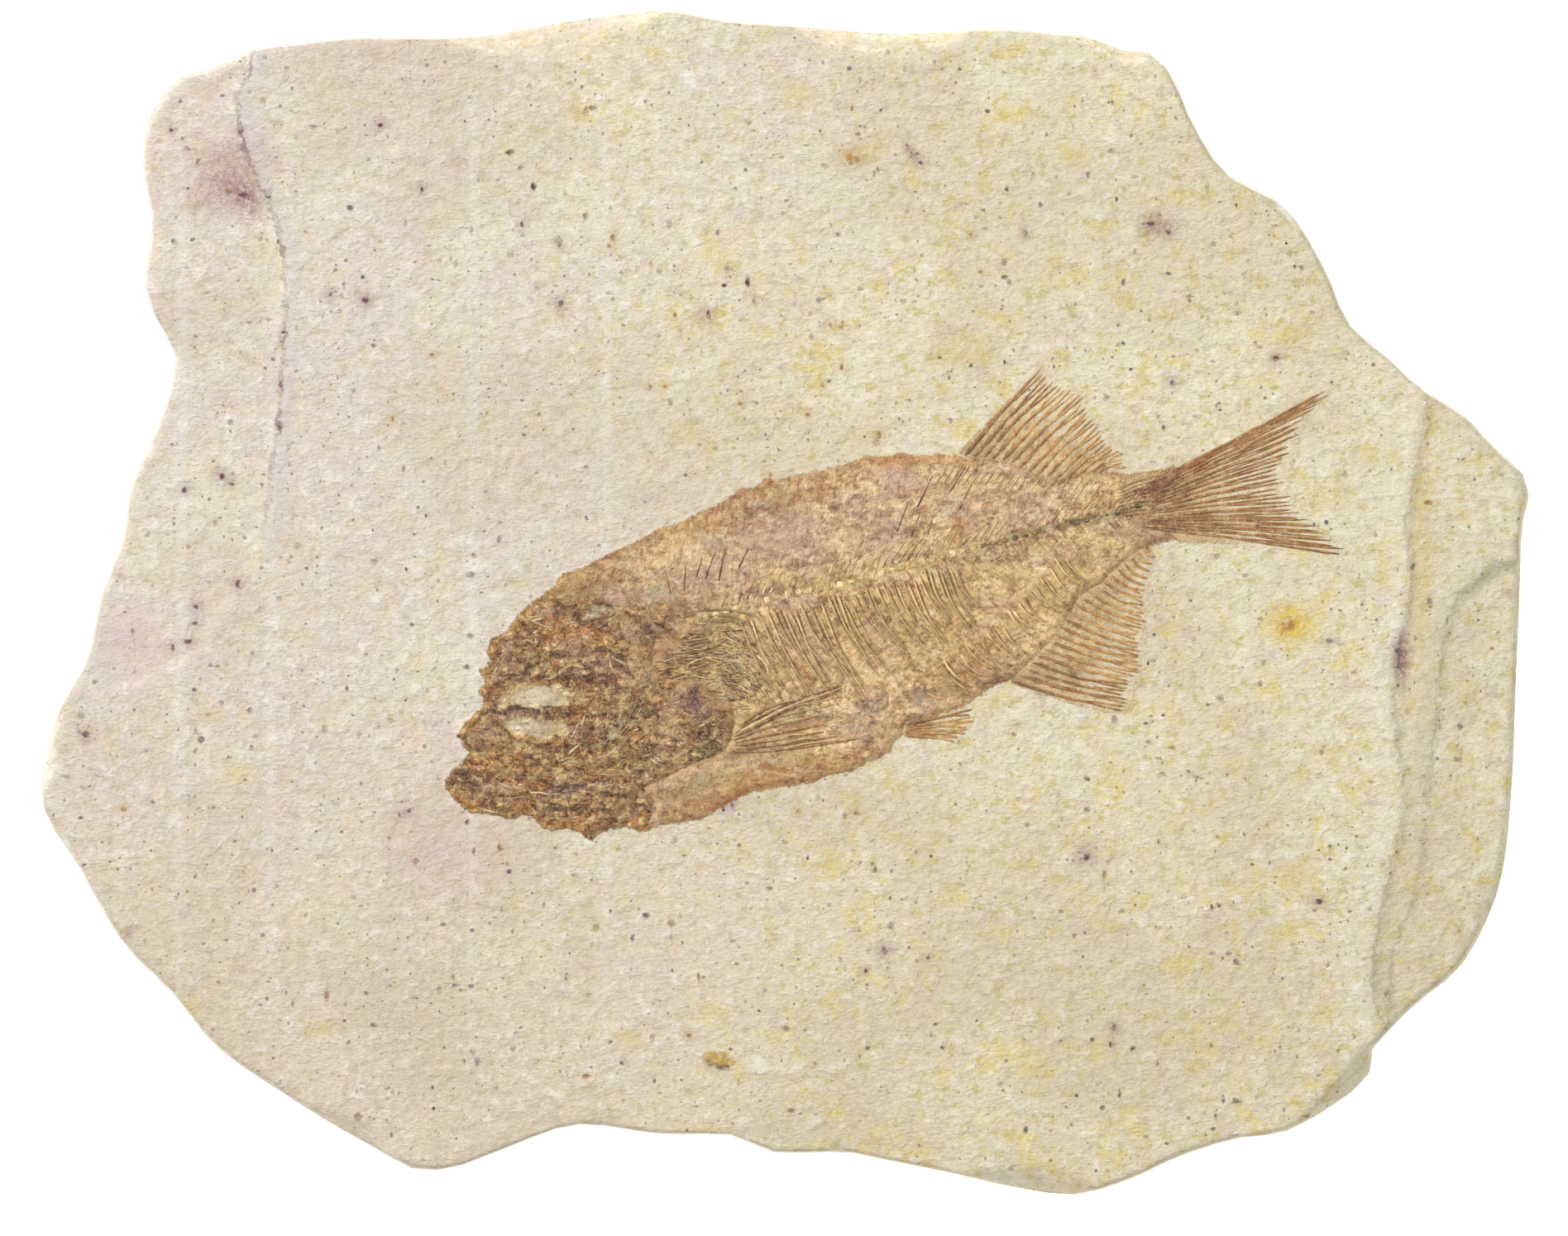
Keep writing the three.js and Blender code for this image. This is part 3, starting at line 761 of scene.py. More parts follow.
class Finishes:
    """Materials of the part, one for each kind of surface."""

    def __init__(self) -> None:
        """Makes the two node groups and the three materials."""
        self.stone_group = Limestone().group()
        self.bone_group = FossilBone().group()
        self.limestone = self._stone("limestone")
        self.crust = self._film("fossil_crust")
        self.bone = self._strand("fossil_bone")

    def _start(self, name: str) -> tuple[bpy.types.Material, Nodes, bpy.types.Node, bpy.types.NodeSocket]:
        """Empty material with its builder, shader and place in mm.

        Args:
            name: Name of the material.

        Returns:
            The material, its builder, its shader and the place in mm.
        """
        made = bpy.data.materials.new(name)
        made.use_nodes = True
        made.node_tree.nodes.clear()
        b = Nodes(made.node_tree)
        shader = b.add("ShaderNodeBsdfPrincipled")
        out = b.add("ShaderNodeOutputMaterial")
        b.feed(out.inputs["Surface"], shader.outputs[0])
        place = b.scaled(b.add("ShaderNodeTexCoord").outputs["Object"], 1000.0, 1000.0, 1000.0)
        return made, b, shader, place

    def _read(self, b: Nodes, name: str) -> bpy.types.Node:
        """Reads an attribute of the mesh."""
        return b.add("ShaderNodeAttribute", attribute_type="GEOMETRY", attribute_name=name)

    def _use(self, b: Nodes, tree: bpy.types.NodeTree, **feeds: object) -> bpy.types.Node:
        """Adds a node group and feeds its inputs by name."""
        node = b.add("ShaderNodeGroup", node_tree=tree)
        for label, value in feeds.items():
            b.feed(node.inputs[label.replace("_", " ")], value)
        return node

    def _stone_in(self, b: Nodes, place: bpy.types.NodeSocket) -> bpy.types.Node:
        """Stone with the stains and ledges of the mesh."""
        stain = self._read(b, "stain")
        return self._use(b, self.stone_group, Place=place, Stain=stain.outputs["Color"],
                         Stain_Strength=stain.outputs["Alpha"],
                         Ledge=self._read(b, "ledge").outputs["Vector"])

    def _close(self, b: Nodes, shader: bpy.types.Node, colour: object, rough: object,
               height: object) -> None:
        """Feeds the shader, with the height as a bump in mm.

        Args:
            b: Builder of the node tree.
            shader: Shader to feed.
            colour: Colour.
            rough: Roughness.
            height: Height, in mm.
        """
        bump = b.add("ShaderNodeBump")
        bump.inputs["Strength"].default_value = 1.0
        bump.inputs["Distance"].default_value = 0.001
        b.feed(bump.inputs["Height"], height)
        b.feed(shader.inputs["Base Color"], colour)
        b.feed(shader.inputs["Roughness"], rough)
        b.feed(shader.inputs["Normal"], bump.outputs[0])

    def _stone(self, name: str) -> bpy.types.Material:
        """Bare stone."""
        made, b, shader, place = self._start(name)
        stone = self._stone_in(b, place)
        self._close(b, shader, stone.outputs["Color"], stone.outputs["Roughness"], stone.outputs["Height"])
        return made

    def _film(self, name: str) -> bpy.types.Material:
        """Crust that fades into the stone where its edge or cover ends.

        Args:
            name: Name of the material.

        Returns:
            The material.
        """
        made, b, shader, place = self._start(name)
        stone = self._stone_in(b, place)
        fibre = self._read(b, "fibre")
        bone = self._use(b, self.bone_group, Place=place, Paint=self._read(b, "paint").outputs["Color"],
                         Fibre=fibre.outputs["Vector"],
                         Fibre_Strength=self._read(b, "fibre_weight").outputs["Fac"],
                         Crumple=self._read(b, "crumple").outputs["Fac"])
        ragged = b.minus(b.noise(place, 1.5, 5.0, 0.7), 0.5)
        edge = b.sum(self._read(b, "edge").outputs["Fac"], b.times(ragged, 1.3))
        cover = b.sum(self._read(b, "cover").outputs["Fac"], b.times(ragged, 0.9))
        amount = b.times(b.step(edge, -0.12, 0.16), b.step(cover, 0.12, 0.62))
        colour = b.mix(amount, stone.outputs["Color"], bone.outputs["Color"])
        rough = b.sum(b.times(stone.outputs["Roughness"], b.minus(1.0, amount)),
                       b.times(bone.outputs["Roughness"], amount))
        height = b.sum(b.times(stone.outputs["Height"], b.minus(1.0, amount)),
                        b.times(b.sum(bone.outputs["Height"], 0.12), amount))
        self._close(b, shader, colour, rough, height)
        return made

    def _strand(self, name: str) -> bpy.types.Material:
        """Single bones: rays, ribs, spines and vertebrae.

        Args:
            name: Name of the material.

        Returns:
            The material.
        """
        made, b, shader, place = self._start(name)
        fibre = self._read(b, "fibre")
        bone = self._use(b, self.bone_group, Place=place, Paint=self._read(b, "paint").outputs["Color"],
                         Fibre=fibre.outputs["Vector"], Fibre_Strength=0.6, Crumple=0.25)
        self._close(b, shader, bone.outputs["Color"], bone.outputs["Roughness"],
                    b.times(bone.outputs["Height"], 0.5))
        return made


# ------------------------------------------------------------------ slab


@dataclass
class SlabShape:
    """Sizes of the slab that the solid part fixes, and its finer relief."""

    plane: float = 14.0
    widest: float = 11.0
    squares: int = 256
    side_rows: int = 16
    undercut: float = 3.0
    mean_radius: float = 95.0
    bed: float = 1.35


LEFT_LEDGE: Pairs = (
    (-71, 84), (-71, 71), (-72.9, 67.5), (-72.4, 62), (-70.3, 56.5), (-67.5, 50.5), (-66.6, 46),
    (-66.5, 36), (-67, 27), (-68.5, 15), (-69.8, 5), (-73, 1), (-77.5, -5), (-81, -9), (-90, -12),
    (-106, -11), (-106, 84),
)
RIGHT_TERRACE: Pairs = (
    (86, 44), (85.5, 25), (84, 17), (82.7, 11), (83.6, 3), (82.5, -3), (81, -9), (81.2, -16),
    (82.5, -27), (80.5, -36), (78.6, -46), (78.2, -51), (80, -57), (106, -60), (106, 44),
)
OUTER_TERRACE: Pairs = (
    (106, 7), (94.7, 5), (90, 1), (88, -4), (87, -13), (85.5, -27), (84.8, -35), (83.5, -40),
    (80.8, -47), (80.6, -62), (106, -62),
)
RIM_CHIPS: tuple[tuple[float, float, float, float], ...] = (
    (-31, 77.4, 16, 5.6), (13, 76.1, 13, 4.6), (44, 74.2, 8, 2.4), (67.5, 52, 4, 1.8),
    (75.5, -65.4, 8, 4.6), (33, -78.5, 8.5, 5.6), (-58, -71, 7, 3.6), (-96, -32.5, 4.5, 1.8),
    (-98.4, -20, 7, 2.6), (97.5, 14, 5, 1.6), (95.5, -40, 6, 2.2),
)

PURPLE_SPOTS: Spots = (
    (-72.3, 54.3, 0.7), (-72.5, 63, 0.5), (-81.8, 63, 0.5), (-53.8, 63.5, 0.55), (-48.3, 55, 0.5),
    (-55.8, 40.2, 0.75), (-60.5, 41, 0.5), (-66.7, 36, 0.5), (-67, 34.8, 0.4), (-67, 29, 0.8),
    (-68.2, 32.4, 0.4), (-67.3, 23.7, 0.65), (-29.8, 39.8, 0.8), (-30, 47.7, 0.5), (-35, 50.3, 0.45),
    (-10.2, 38.2, 0.8), (16.3, 60.7, 0.5), (16.9, 59.6, 0.5), (18, 58.5, 0.55), (32, 49.2, 0.6),
    (48.6, 50.4, 0.7), (51, 49.4, 0.6), (51.5, 29.3, 0.6), (65.3, 32.5, 0.65), (-80, 15, 0.7),
    (-75, 16.8, 0.7), (-73.7, 15.8, 0.5), (-72.8, 2.5, 0.7), (-78.5, -0.6, 0.6), (-78.6, -2.8, 0.6),
    (-79.5, -5.2, 0.7), (-81.5, -6, 0.6), (-93, -17.5, 0.7), (-50, -27.7, 0.5), (-51.3, -28.3, 0.45),
    (-87.5, -44, 0.6), (13.2, -46.4, 0.75), (10.7, -49, 0.5), (19, -47.3, 0.45), (40.2, -33.8, 0.85),
    (43.8, -56.6, 0.6), (43.3, -58.8, 0.5), (71, -39.8, 0.75), (81.8, -6.5, 1.0), (81.7, -8.6, 0.7),
    (72.4, -5.1, 0.6), (-7, -27, 0.5), (-8.2, -27.6, 0.4),
)
BROWN_SPOTS: Spots = (
    (-23, 48.6, 0.6), (-23.4, 47.4, 0.5), (8.6, 59.3, 0.9), (9.6, 59.1, 0.7), (6, 37, 0.5),
    (7.5, 36.7, 0.45), (7.5, 31.3, 0.5), (3, 25, 0.5), (5, 29, 0.45), (12.5, 22.3, 0.6),
    (-6, 26.5, 0.5), (-18, 28.7, 0.45), (-16, 28.7, 0.4), (-88, -27.5, 0.5), (-38, -32.6, 0.6),
    (-12.8, -57.6, 0.5), (9.5, -28, 0.6), (1.8, -27.8, 0.55), (67.2, -2.9, 1.0), (-2, 16.8, 0.6),
    (-52.2, 24.4, 0.4), (-47, 33, 0.4), (26, 44, 0.4), (24.7, 49, 0.4), (-17.9, 45, 0.4),
)
SLATE_SPOTS: Spots = (
    (-81.5, 48.2, 0.4), (-79, 48.4, 0.35), (29.3, 43.3, 0.45), (34, 52.9, 0.45), (27, 65.4, 0.4),
    (29.5, 55, 0.4), (40.3, 57, 0.4), (45, 42.6, 0.4), (45, 34.5, 0.35), (51, 43.8, 0.4),
    (53.8, 40.2, 0.4), (-78.5, -11.6, 0.4), (-71, -19.3, 0.4), (-75, -13.3, 0.35), (-54.8, -56.2, 0.45),
    (12, -35.5, 0.4), (11, -59.3, 0.4), (21, -59.2, 0.4), (44.5, -65.4, 0.45), (58.3, -66.1, 0.4),
    (80, -52, 0.4), (72, 10.7, 0.38), (70.3, 10.3, 0.36), (57, -70, 0.4), (57.9, -70, 0.35),
    (22, 24.2, 0.35), (15.2, 24.4, 0.3), (35.8, 31.3, 0.3), (24.7, 31.6, 0.35), (29.2, 32, 0.3),
    (46, 31, 0.3), (57.8, 26.5, 0.25), (57.9, 25.6, 0.25), (65.2, 13.1, 0.35), (48.3, -8.1, 0.3),
    (50.3, -15, 0.3), (48, -16.1, 0.3), (49.1, -4.3, 0.3),
)


def stains() -> list[Mark]:
    """Stains on the stone: manganese purple, iron ochre and brown, pale scars.

    Returns:
        The marks, in the order they are painted.
    """
    ochre = [
        (1.5, 67.5, 2.6, 2.0), (22, 33.5, 3.6, 2.3), (26, 32.5, 1.8, 1.2), (38.5, 59.3, 1.8, 1.3),
        (-13, 22.5, 2.0, 1.4), (72, 14, 3.0, 2.0), (-76.5, -15, 1.8, 1.3), (-73, -23, 1.8, 1.2),
        (-79.3, -53.6, 1.9, 1.3), (-62, -57, 1.8, 1.2), (6, -34, 1.6, 1.2), (20.5, -31.5, 1.7, 1.2),
        (-21, -58, 1.7, 1.2), (68, -36.5, 2.4, 1.6), (42, -43, 1.7, 1.2), (66, -44, 1.6, 1.1),
        (78, -43, 1.6, 1.1), (58.5, -55.5, 1.7, 1.2), (9, -26, 1.4, 0.9), (28, -13.4, 1.7, 0.8),
        (60, -22, 1.8, 1.1), (52, -30, 1.5, 1.0), (73, -20, 1.5, 1.1), (33, -62, 1.6, 1.0),
    ]
    marks = [blot(Tint.ASH, -91, -6, 4.5, 5.5, strength=0.5, soft=0.7)]
    marks += [blot(Tint.MAUVE, x, y, 2.0 * r, 1.5 * r, 20 * x, 0.4, soft=0.8) for x, y, r in PURPLE_SPOTS]
    marks += [blot(Tint.OCHRE, x, y, 2.0 * r, 1.5 * r, 20 * x, 0.4, soft=0.8) for x, y, r in BROWN_SPOTS]
    marks += [blot(Tint.WINE, -74, 57, 5.6, 3.8, 40, 0.66, soft=0.8),
              blot(Tint.MAUVE, -71.8, 53.6, 1.5, 2.6, 30, 0.6, soft=0.8),
              blot(Tint.MAUVE, 50, 50, 2.6, 1.5, 20, 0.4, soft=0.8)]
    marks += [blot(Tint.YELLOW, x, y, a, c, strength=0.5, soft=0.8) for x, y, a, c in ochre]
    marks += [
        blot(Tint.GOLD, 67.6, -2.9, 3.2, 2.5, strength=0.9, soft=0.7),
        blot(Tint.ORANGE, 66.8, -3.0, 1.2, 0.9, strength=0.8, soft=0.6),
        blot(Tint.PINK, -45, -33, 8, 5.5, strength=0.4, soft=0.8),
        blot(Tint.PINK, -87, -6, 4.5, 5, strength=0.5, soft=0.8),
        stroke(Tint.OCHRE, 2.2, (-10.6, -60.4), (-8.7, -60.8), (-6.8, -61.2), strength=0.95),
        stroke(Tint.DARK, 0.9, (-10.8, -61.2), (-8.7, -61.8), (-6.8, -62), strength=0.6),
        stroke(Tint.WHITE, 1.6, (65.6, 53.6), (68.4, 51.2), strength=0.8),
        stroke(Tint.WHITE, 1.4, (-13.5, 70.5), (-12, 68.5), strength=0.8),
        stroke(Tint.WHITE, 3.0, (-98.6, -15), (-98.8, -20), (-98.9, -25), strength=0.4),
    ]
    for x in (-80.7, -68.6, -41.7, -24):
        marks.append(stroke(Tint.WHITE, 1.5, (x, 70), (x + 0.3, 30), (x, -60), strength=0.24, soft=1.0))
    marks.append(blot(Tint.YELLOW, 84.6, 8, 1.6, 20, strength=0.4, soft=0.8))
    marks.append(blot(Tint.MAUVE, 82.2, -7.4, 1.0, 3.2, strength=0.9, soft=0.6))
    return marks


class Slab:
    """The limestone slab: one closed skin with ledges, chips and a bedded edge."""

    def __init__(self, shape: SlabShape) -> None:
        """Reads the outline from the solid and keeps the marks of the stone.

        Args:
            shape: Measures of the slab.
        """
        self.shape = shape
        self.ring = self._silhouette()
        self.marks = stains()
        self.piece: Optional[bpy.types.Object] = None

    def _silhouette(self) -> Array:
        """Outline at the widest level, read from the solid slab, anticlockwise."""
        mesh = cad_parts["slab"].data
        co = np.empty(len(mesh.vertices) * 3, dtype=np.float32)
        mesh.vertices.foreach_get("co", co)
        co = co.reshape(-1, 3).astype(float) / MM
        level = co[np.abs(co[:, 2] - self.shape.widest) < 0.02][:, :2]
        level = np.unique(np.round(level, 3), axis=0)
        turn = np.arctan2(level[:, 1], level[:, 0])
        return level[np.argsort(turn)]

    def rim_at(self, turn: Array) -> Array:
        """Distance from the middle to the widest outline in each direction."""
        own = np.arctan2(self.ring[:, 1], self.ring[:, 0])
        reach = np.hypot(self.ring[:, 0], self.ring[:, 1])
        return np.interp(turn, np.concatenate([own - 2 * np.pi, own, own + 2 * np.pi]), np.tile(reach, 3))

    def relief(self, x: Array, y: Array) -> Array:
        """Height of the upper face away from its rim.

        The bedding plane, less the drop of each ledge, plus gentle waves and the marks of
        splitting.

        Args:
            x: Horizontal place.
            y: Vertical place.

        Returns:
            Heights in mm.
        """
        z = np.full(x.shape, self.shape.plane - 0.12)
        bend = 0.8 * noise(x, y, 6.0, 3, 3)
        left = inside_distance(x, y, np.array(LEFT_LEDGE)) + bend * 0.5
        drop = np.clip(0.5 + 0.015 * y, 0.22, 2.0)
        z -= drop * smooth(-0.6, 1.0, left)
        right = inside_distance(x, y, np.array(RIGHT_TERRACE)) + bend * 0.5
        z -= 0.6 * smooth(-0.5, 0.9, right)
        outer = inside_distance(x, y, np.array(OUTER_TERRACE)) + bend
        fall = 0.25 + 0.11 * np.clip(x - 86, 0, 20) + 0.35 * np.clip(noise(x, y, 9.0, 41, 3), -1, 1)
        z -= np.maximum(fall, 0) * smooth(-0.6, 1.2, outer)
        z += 0.1 * noise(x, y, 34.0, 11, 2) + 0.04 * noise(x, y, 9.0, 12, 2)
        calm = smooth(0.0, 10.0, np.hypot(x / 1.05, y / 0.8) - 60)
        z += calm * 0.05 * noise(x, y, 5.0, 13, 2)
        return np.minimum(z, self.shape.plane + 0.02)

    def _chip_width(self, x: Array, y: Array) -> Array:
        """How far the bevel of the rim reaches in, at a place near the rim.

        Args:
            x: Across, in mm.
            y: Up, in mm.

        Returns:
            Width there, in mm.
        """
        arc = np.arctan2(y, x) * self.shape.mean_radius
        wide = 0.55 + 0.9 * np.clip(noise(arc, arc * 0.0, 4.0, 51, 3), 0, 1) ** 2
        for cx, cy, half, depth in RIM_CHIPS:
            share = np.hypot(x - cx, y - cy) / half
            ragged = 1 + 0.5 * noise(x, y, 4.0, 52, 3)
            wide = np.maximum(wide, depth * ragged * (1 - share**2))
        return wide

    def top(self, x: Array, y: Array) -> Array:
        """Height of the upper face, rim and chips included.

        Args:
            x: Across, in mm.
            y: Up, in mm.

        Returns:
            Level of the upper face, in mm.
        """
        inset = self.rim_at(np.arctan2(y, x)) - np.hypot(x, y)
        wide = self._chip_width(x, y)
        z = self.relief(x, y)
        slope = np.clip(1 - inset / wide, 0, 1)
        scoop = 0.2 * noise(x, y, 2.4, 61, 3) * slope * (1 - slope)
        return z - (z - self.shape.widest) * slope**1.7 + scoop * 3.0

    def _square(self) -> tuple[Array, Array]:
        """Square of grid points mapped to the unit disc with equal areas."""
        n = self.shape.squares
        a, b = np.meshgrid(np.linspace(-1, 1, n + 1), np.linspace(-1, 1, n + 1))
        wide = np.abs(a) >= np.abs(b)
        safe_a, safe_b = np.where(a == 0, 1, a), np.where(b == 0, 1, b)
        turn = np.where(wide, np.pi / 4 * b / safe_a, np.pi / 2 - np.pi / 4 * a / safe_b)
        reach = np.where(wide, a, b)
        turn = np.where((a == 0) & (b == 0), 0, turn)
        x, y = reach * np.cos(turn), reach * np.sin(turn)
        return x, y

    def build(self) -> None:
        """Builds the closed skin: grid top, rows down the edge, rings across the underside."""
        n = self.shape.squares
        ux, uy = self._square()
        turn = np.arctan2(uy, ux)
        reach = np.hypot(ux, uy) * self.rim_at(turn)
        x, y = (reach * np.cos(turn)).ravel(), (reach * np.sin(turn)).ravel()
        top = np.column_stack([x, y, self.top(x, y)])
        grid = np.arange((n + 1) ** 2).reshape(n + 1, n + 1)
        quads = np.stack([grid[:-1, :-1], grid[:-1, 1:], grid[1:, 1:], grid[1:, :-1]],
                         axis=-1).reshape(-1, 4)
        border = np.concatenate([grid[0, :-1], grid[:-1, -1], grid[-1, :0:-1], grid[:0:-1, 0]])
        rows, inner = self._edge_rows(top[border])
        points = np.vstack([top, rows.reshape(-1, 3), inner.reshape(-1, 3), [[0.0, 0.0, 0.05]]])
        m = len(border)
        rings = [border]
        start = len(top)
        for k in range(len(rows) + len(inner)):
            rings.append(start + np.arange(m) + k * m)
        faces = [quads]
        for upper, lower in zip(rings[:-1], rings[1:]):
            nxt_u, nxt_l = np.roll(upper, -1), np.roll(lower, -1)
            faces.append(np.stack([lower, nxt_l, nxt_u, upper], axis=1))
        last = rings[-1]
        middle = np.full(m // 2, len(points) - 1)
        fan = np.stack([last[0::2], middle, np.roll(last, -2)[0::2], last[1::2]], axis=1)
        faces.append(fan)
        all_faces = np.vstack(faces)
        self.piece = add_mesh("limestone_slab", points, all_faces)
        self.stone_marks(self.piece, points[:, 0], points[:, 1])

    def _edge_rows(self, border: Array) -> tuple[Array, Array]:
        """Rows of points down the broken edge and across the underside.

        Each row sits in from the widest outline by the undercut, by a saw-tooth of thin beds
        and by fracture noise.
        """
        turn = np.arctan2(border[:, 1], border[:, 0])
        reach = np.hypot(border[:, 0], border[:, 1])
        arc = turn * self.shape.mean_radius
        rows = []
        count = self.shape.side_rows
        for k in range(1, count + 1):
            share = k / count
            z = self.shape.widest * (1 - share)
            under = self.shape.undercut * share**2.2
            bed = np.floor(z / self.shape.bed + 0.35 * noise(arc, arc * 0 + 3, 30.0, 71, 2))
            step = 0.35 * (lattice(bed, bed * 0 + 5, 72) * 0.5 + 0.5)
            tooth = 0.3 * ((z / self.shape.bed) % 1.0)
            crack = 0.55 * (noise(arc, z + arc * 0, 3.0, 73, 3) * 0.5 + 0.5)
            big = 0.8 * (noise(arc, z * 0.6 + arc * 0, 14.0, 74, 2) * 0.5 + 0.5) * min(1.0, 3 * share)
            fade = min(1.0, share * 5)
            r = reach - (under + fade * (step + tooth + crack) + big)
            level = np.full(len(arc), max(z, 0.0))
            if k < count:
                level = level + 0.18 * noise(arc, arc * 0 + z, 2.5, 75, 2)
            rows.append(np.column_stack([r * np.cos(turn), r * np.sin(turn), np.maximum(level, 0.0)]))
        inner = []
        last = rows[-1]
        for scale in (0.985, 0.93, 0.82, 0.66, 0.46, 0.24, 0.07):
            p = last * [scale, scale, 1.0]
            p[:, 2] = np.clip(0.12 * (noise(p[:, 0], p[:, 1], 18.0, 76, 3) * 0.5 + 0.3), 0, 0.2)
            inner.append(p)
        return np.array(rows), np.array(inner)

    def stone_marks(self, piece: bpy.types.Object, x: Array, y: Array) -> None:
        """Writes the stains of the stone, and the distance past each ledge, on a piece.

        Args:
            piece: Object whose points lie at x and y.
            x: Horizontal place of each point.
            y: Vertical place of each point.
        """
        ground = np.tile(Tint.CREAM.rgb, (len(x), 1))
        total = np.zeros(len(x))
        ragged = 0.6 * noise(x, y, 2.2, 91, 2) + 0.4 * noise(x, y, 0.9, 92)
        for mark in self.marks:
            mask = np.clip(mark.mask(x, y, ragged) * mark.strength, 0, 1)
            share = mask / np.maximum(mask + total * (1 - mask), 1e-6)
            ground += (mark.tint.rgb - ground) * share[:, None]
            total = mask + total * (1 - mask)
        set_colour(piece, "stain", ground, total)
        past = [inside_distance(x, y, np.array(line)) for line in (LEFT_LEDGE, RIGHT_TERRACE,
                                                                   OUTER_TERRACE)]
        set_vector(piece, "ledge", np.clip(np.stack(past, axis=1), -9, 9))

    def dress(self, finishes: Finishes) -> None:
        """Gives the slab its finish and ties it to the part."""
        assert self.piece is not None
        self.piece.data.materials.append(finishes.limestone)
        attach(self.piece, "root")
        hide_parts("slab")


# ------------------------------------------------------------------ films of pressed bone


SKULL: Pairs = (
    (-41.9, -20.8), (-41.9, -19.9), (-42.65, -19.2), (-42.9, -18.4), (-43.6, -17.9), (-43.2, -17.1),
    (-42.6, -16.2), (-41.8, -15.5), (-40.9, -14.6), (-40.2, -14), (-40.1, -12.6), (-40.8, -12.1),
    (-40.5, -11.4), (-39.9, -10.8), (-39.7, -10.1), (-40.3, -9.8), (-40.7, -8.8), (-40.2, -9),
    (-39.5, -8.5), (-39.1, -7.6), (-39.5, -7), (-39.6, -6.4), (-39.3, -5.6), (-38.9, -4.8),
    (-38.1, -4.4), (-37, -4), (-36.4, -3.1), (-35.8, -2.2), (-34.9, -1.2), (-34.1, -0.4),
    (-33, 0.2), (-31.9, 0.7), (-30.6, 0.9), (-29.6, 0.2), (-28.6, -0.1), (-26, 0.3), (-22.6, 0.2),
    (-21.6, -0.4), (-20.4, -0.4), (-18.5, -0.5), (-17, -1.4), (-15.6, -2.2), (-14.1, -3.6),
    (-15.4, -4.2), (-16.8, -5), (-17.3, -6.6), (-17.1, -8.2), (-15.6, -10), (-13, -9.7),
    (-10.6, -10.1), (-9.7, -11.8), (-8.6, -12.9), (-7.3, -12.7), (-6.5, -14.2), (-6.7, -17.8),
    (-8, -20), (-11.6, -21.6), (-15.6, -23.4), (-19.4, -25), (-24, -23.8), (-30, -22.4), (-36, -22.1),
)
JAW: Pairs = (
    (-45.25, -24.4), (-45, -23.6), (-44.5, -22.8), (-43.9, -22.1), (-42.9, -21.5), (-41.8, -21.1),
    (-40, -20.8), (-36, -20.6), (-28, -21), (-20, -23.6), (-17.4, -25.8), (-16.8, -27.8),
    (-17.9, -29.5), (-18.4, -30.2), (-20, -30.2), (-21.1, -29.8), (-22.2, -29.9), (-23.7, -30.2),
    (-24.4, -30.7), (-25.2, -31.2), (-25.7, -31.7), (-26.6, -31.2), (-27.1, -30.6), (-28, -30.2),
    (-29.3, -30.1), (-30.7, -30.3), (-31.9, -30.2), (-32.6, -29.5), (-33.4, -28.7), (-34.3, -28.2),
    (-35.3, -28.4), (-36.4, -28.85), (-37.6, -28.55), (-38.9, -28.25), (-40.5, -28.1), (-42, -27.9),
    (-42.9, -27.1), (-44, -26.2), (-44.7, -25.1),
)
TRUNK: Pairs = (
    (-31.4, 1), (-30.5, 1.9), (-30.3, 3), (-29.5, 3.8), (-27.4, 4.4), (-24, 6.2), (-20.8, 7.6),
    (-18.6, 8.7), (-16.6, 9.9), (-14.3, 10.5), (-12, 11.7), (-8.7, 13.2), (-7.3, 14.1), (-6, 15.1),
    (-3.9, 15.3), (-2.7, 16.6), (-1.1, 16), (-0.1, 16.5), (1.9, 17), (3.9, 17.5), (7.8, 18.3),
    (9.5, 18.9), (11.1, 19.5), (13.1, 19.4), (15.4, 19.9), (17.7, 19.5), (21, 19.7), (24.2, 19.5),
    (26, 19.4), (29, 18.9), (32, 18), (34, 16.9), (37, 16.5), (39.6, 17.4), (42, 17.7), (44.2, 17.3),
    (46, 17.1), (48.2, 17.35), (49.8, 17.8), (51.9, 18.1), (53.4, 18.1), (52.6, 17), (51.2, 15.6),
    (50.6, 13.6), (50.8, 11), (51.2, 9.4), (52.4, 8.4), (50.1, 7.9), (48.2, 7.4), (47, 6.8),
    (46, 6), (44.6, 4.8), (43.1, 3.3), (42, 2.3), (40, 1.3), (38.8, 0), (37.9, -1.8), (36.8, -3.2),
    (36.1, -4.8), (35, -5.8), (33.6, -7.2), (32, -8.8), (30.3, -10.3), (29, -10.7), (27.7, -11.2),
    (26.4, -12), (25.1, -12.9), (23.8, -13.9), (22, -14.5), (19.9, -15.2), (17.9, -15.6),
    (16.1, -16), (15.7, -17.7), (14.4, -18.8), (14.1, -19.9), (12.8, -20.7), (11.1, -21.2),
    (9.8, -21.9), (8.8, -22.6), (6.5, -22.8), (5.2, -23.3), (3.9, -24), (1.9, -24.3), (-0.1, -24.6),
    (-2.1, -25), (-4.1, -25.1), (-6.1, -26), (-7.7, -27), (-10.1, -28.3), (-11.5, -29),
    (-13.3, -29.2), (-15.2, -29.5), (-17, -29.5), (-19, -29), (-24, -24), (-27, -10),
)
BACKBONE: Pairs = (
    (-12.6, -2.6), (-6, -0.8), (0, 0.9), (8, 2.5), (16, 4.7), (24, 6.9), (32, 8.9), (40, 10.8),
    (44.1, 11.9), (47.6, 13.1), (50.2, 14.0),
)

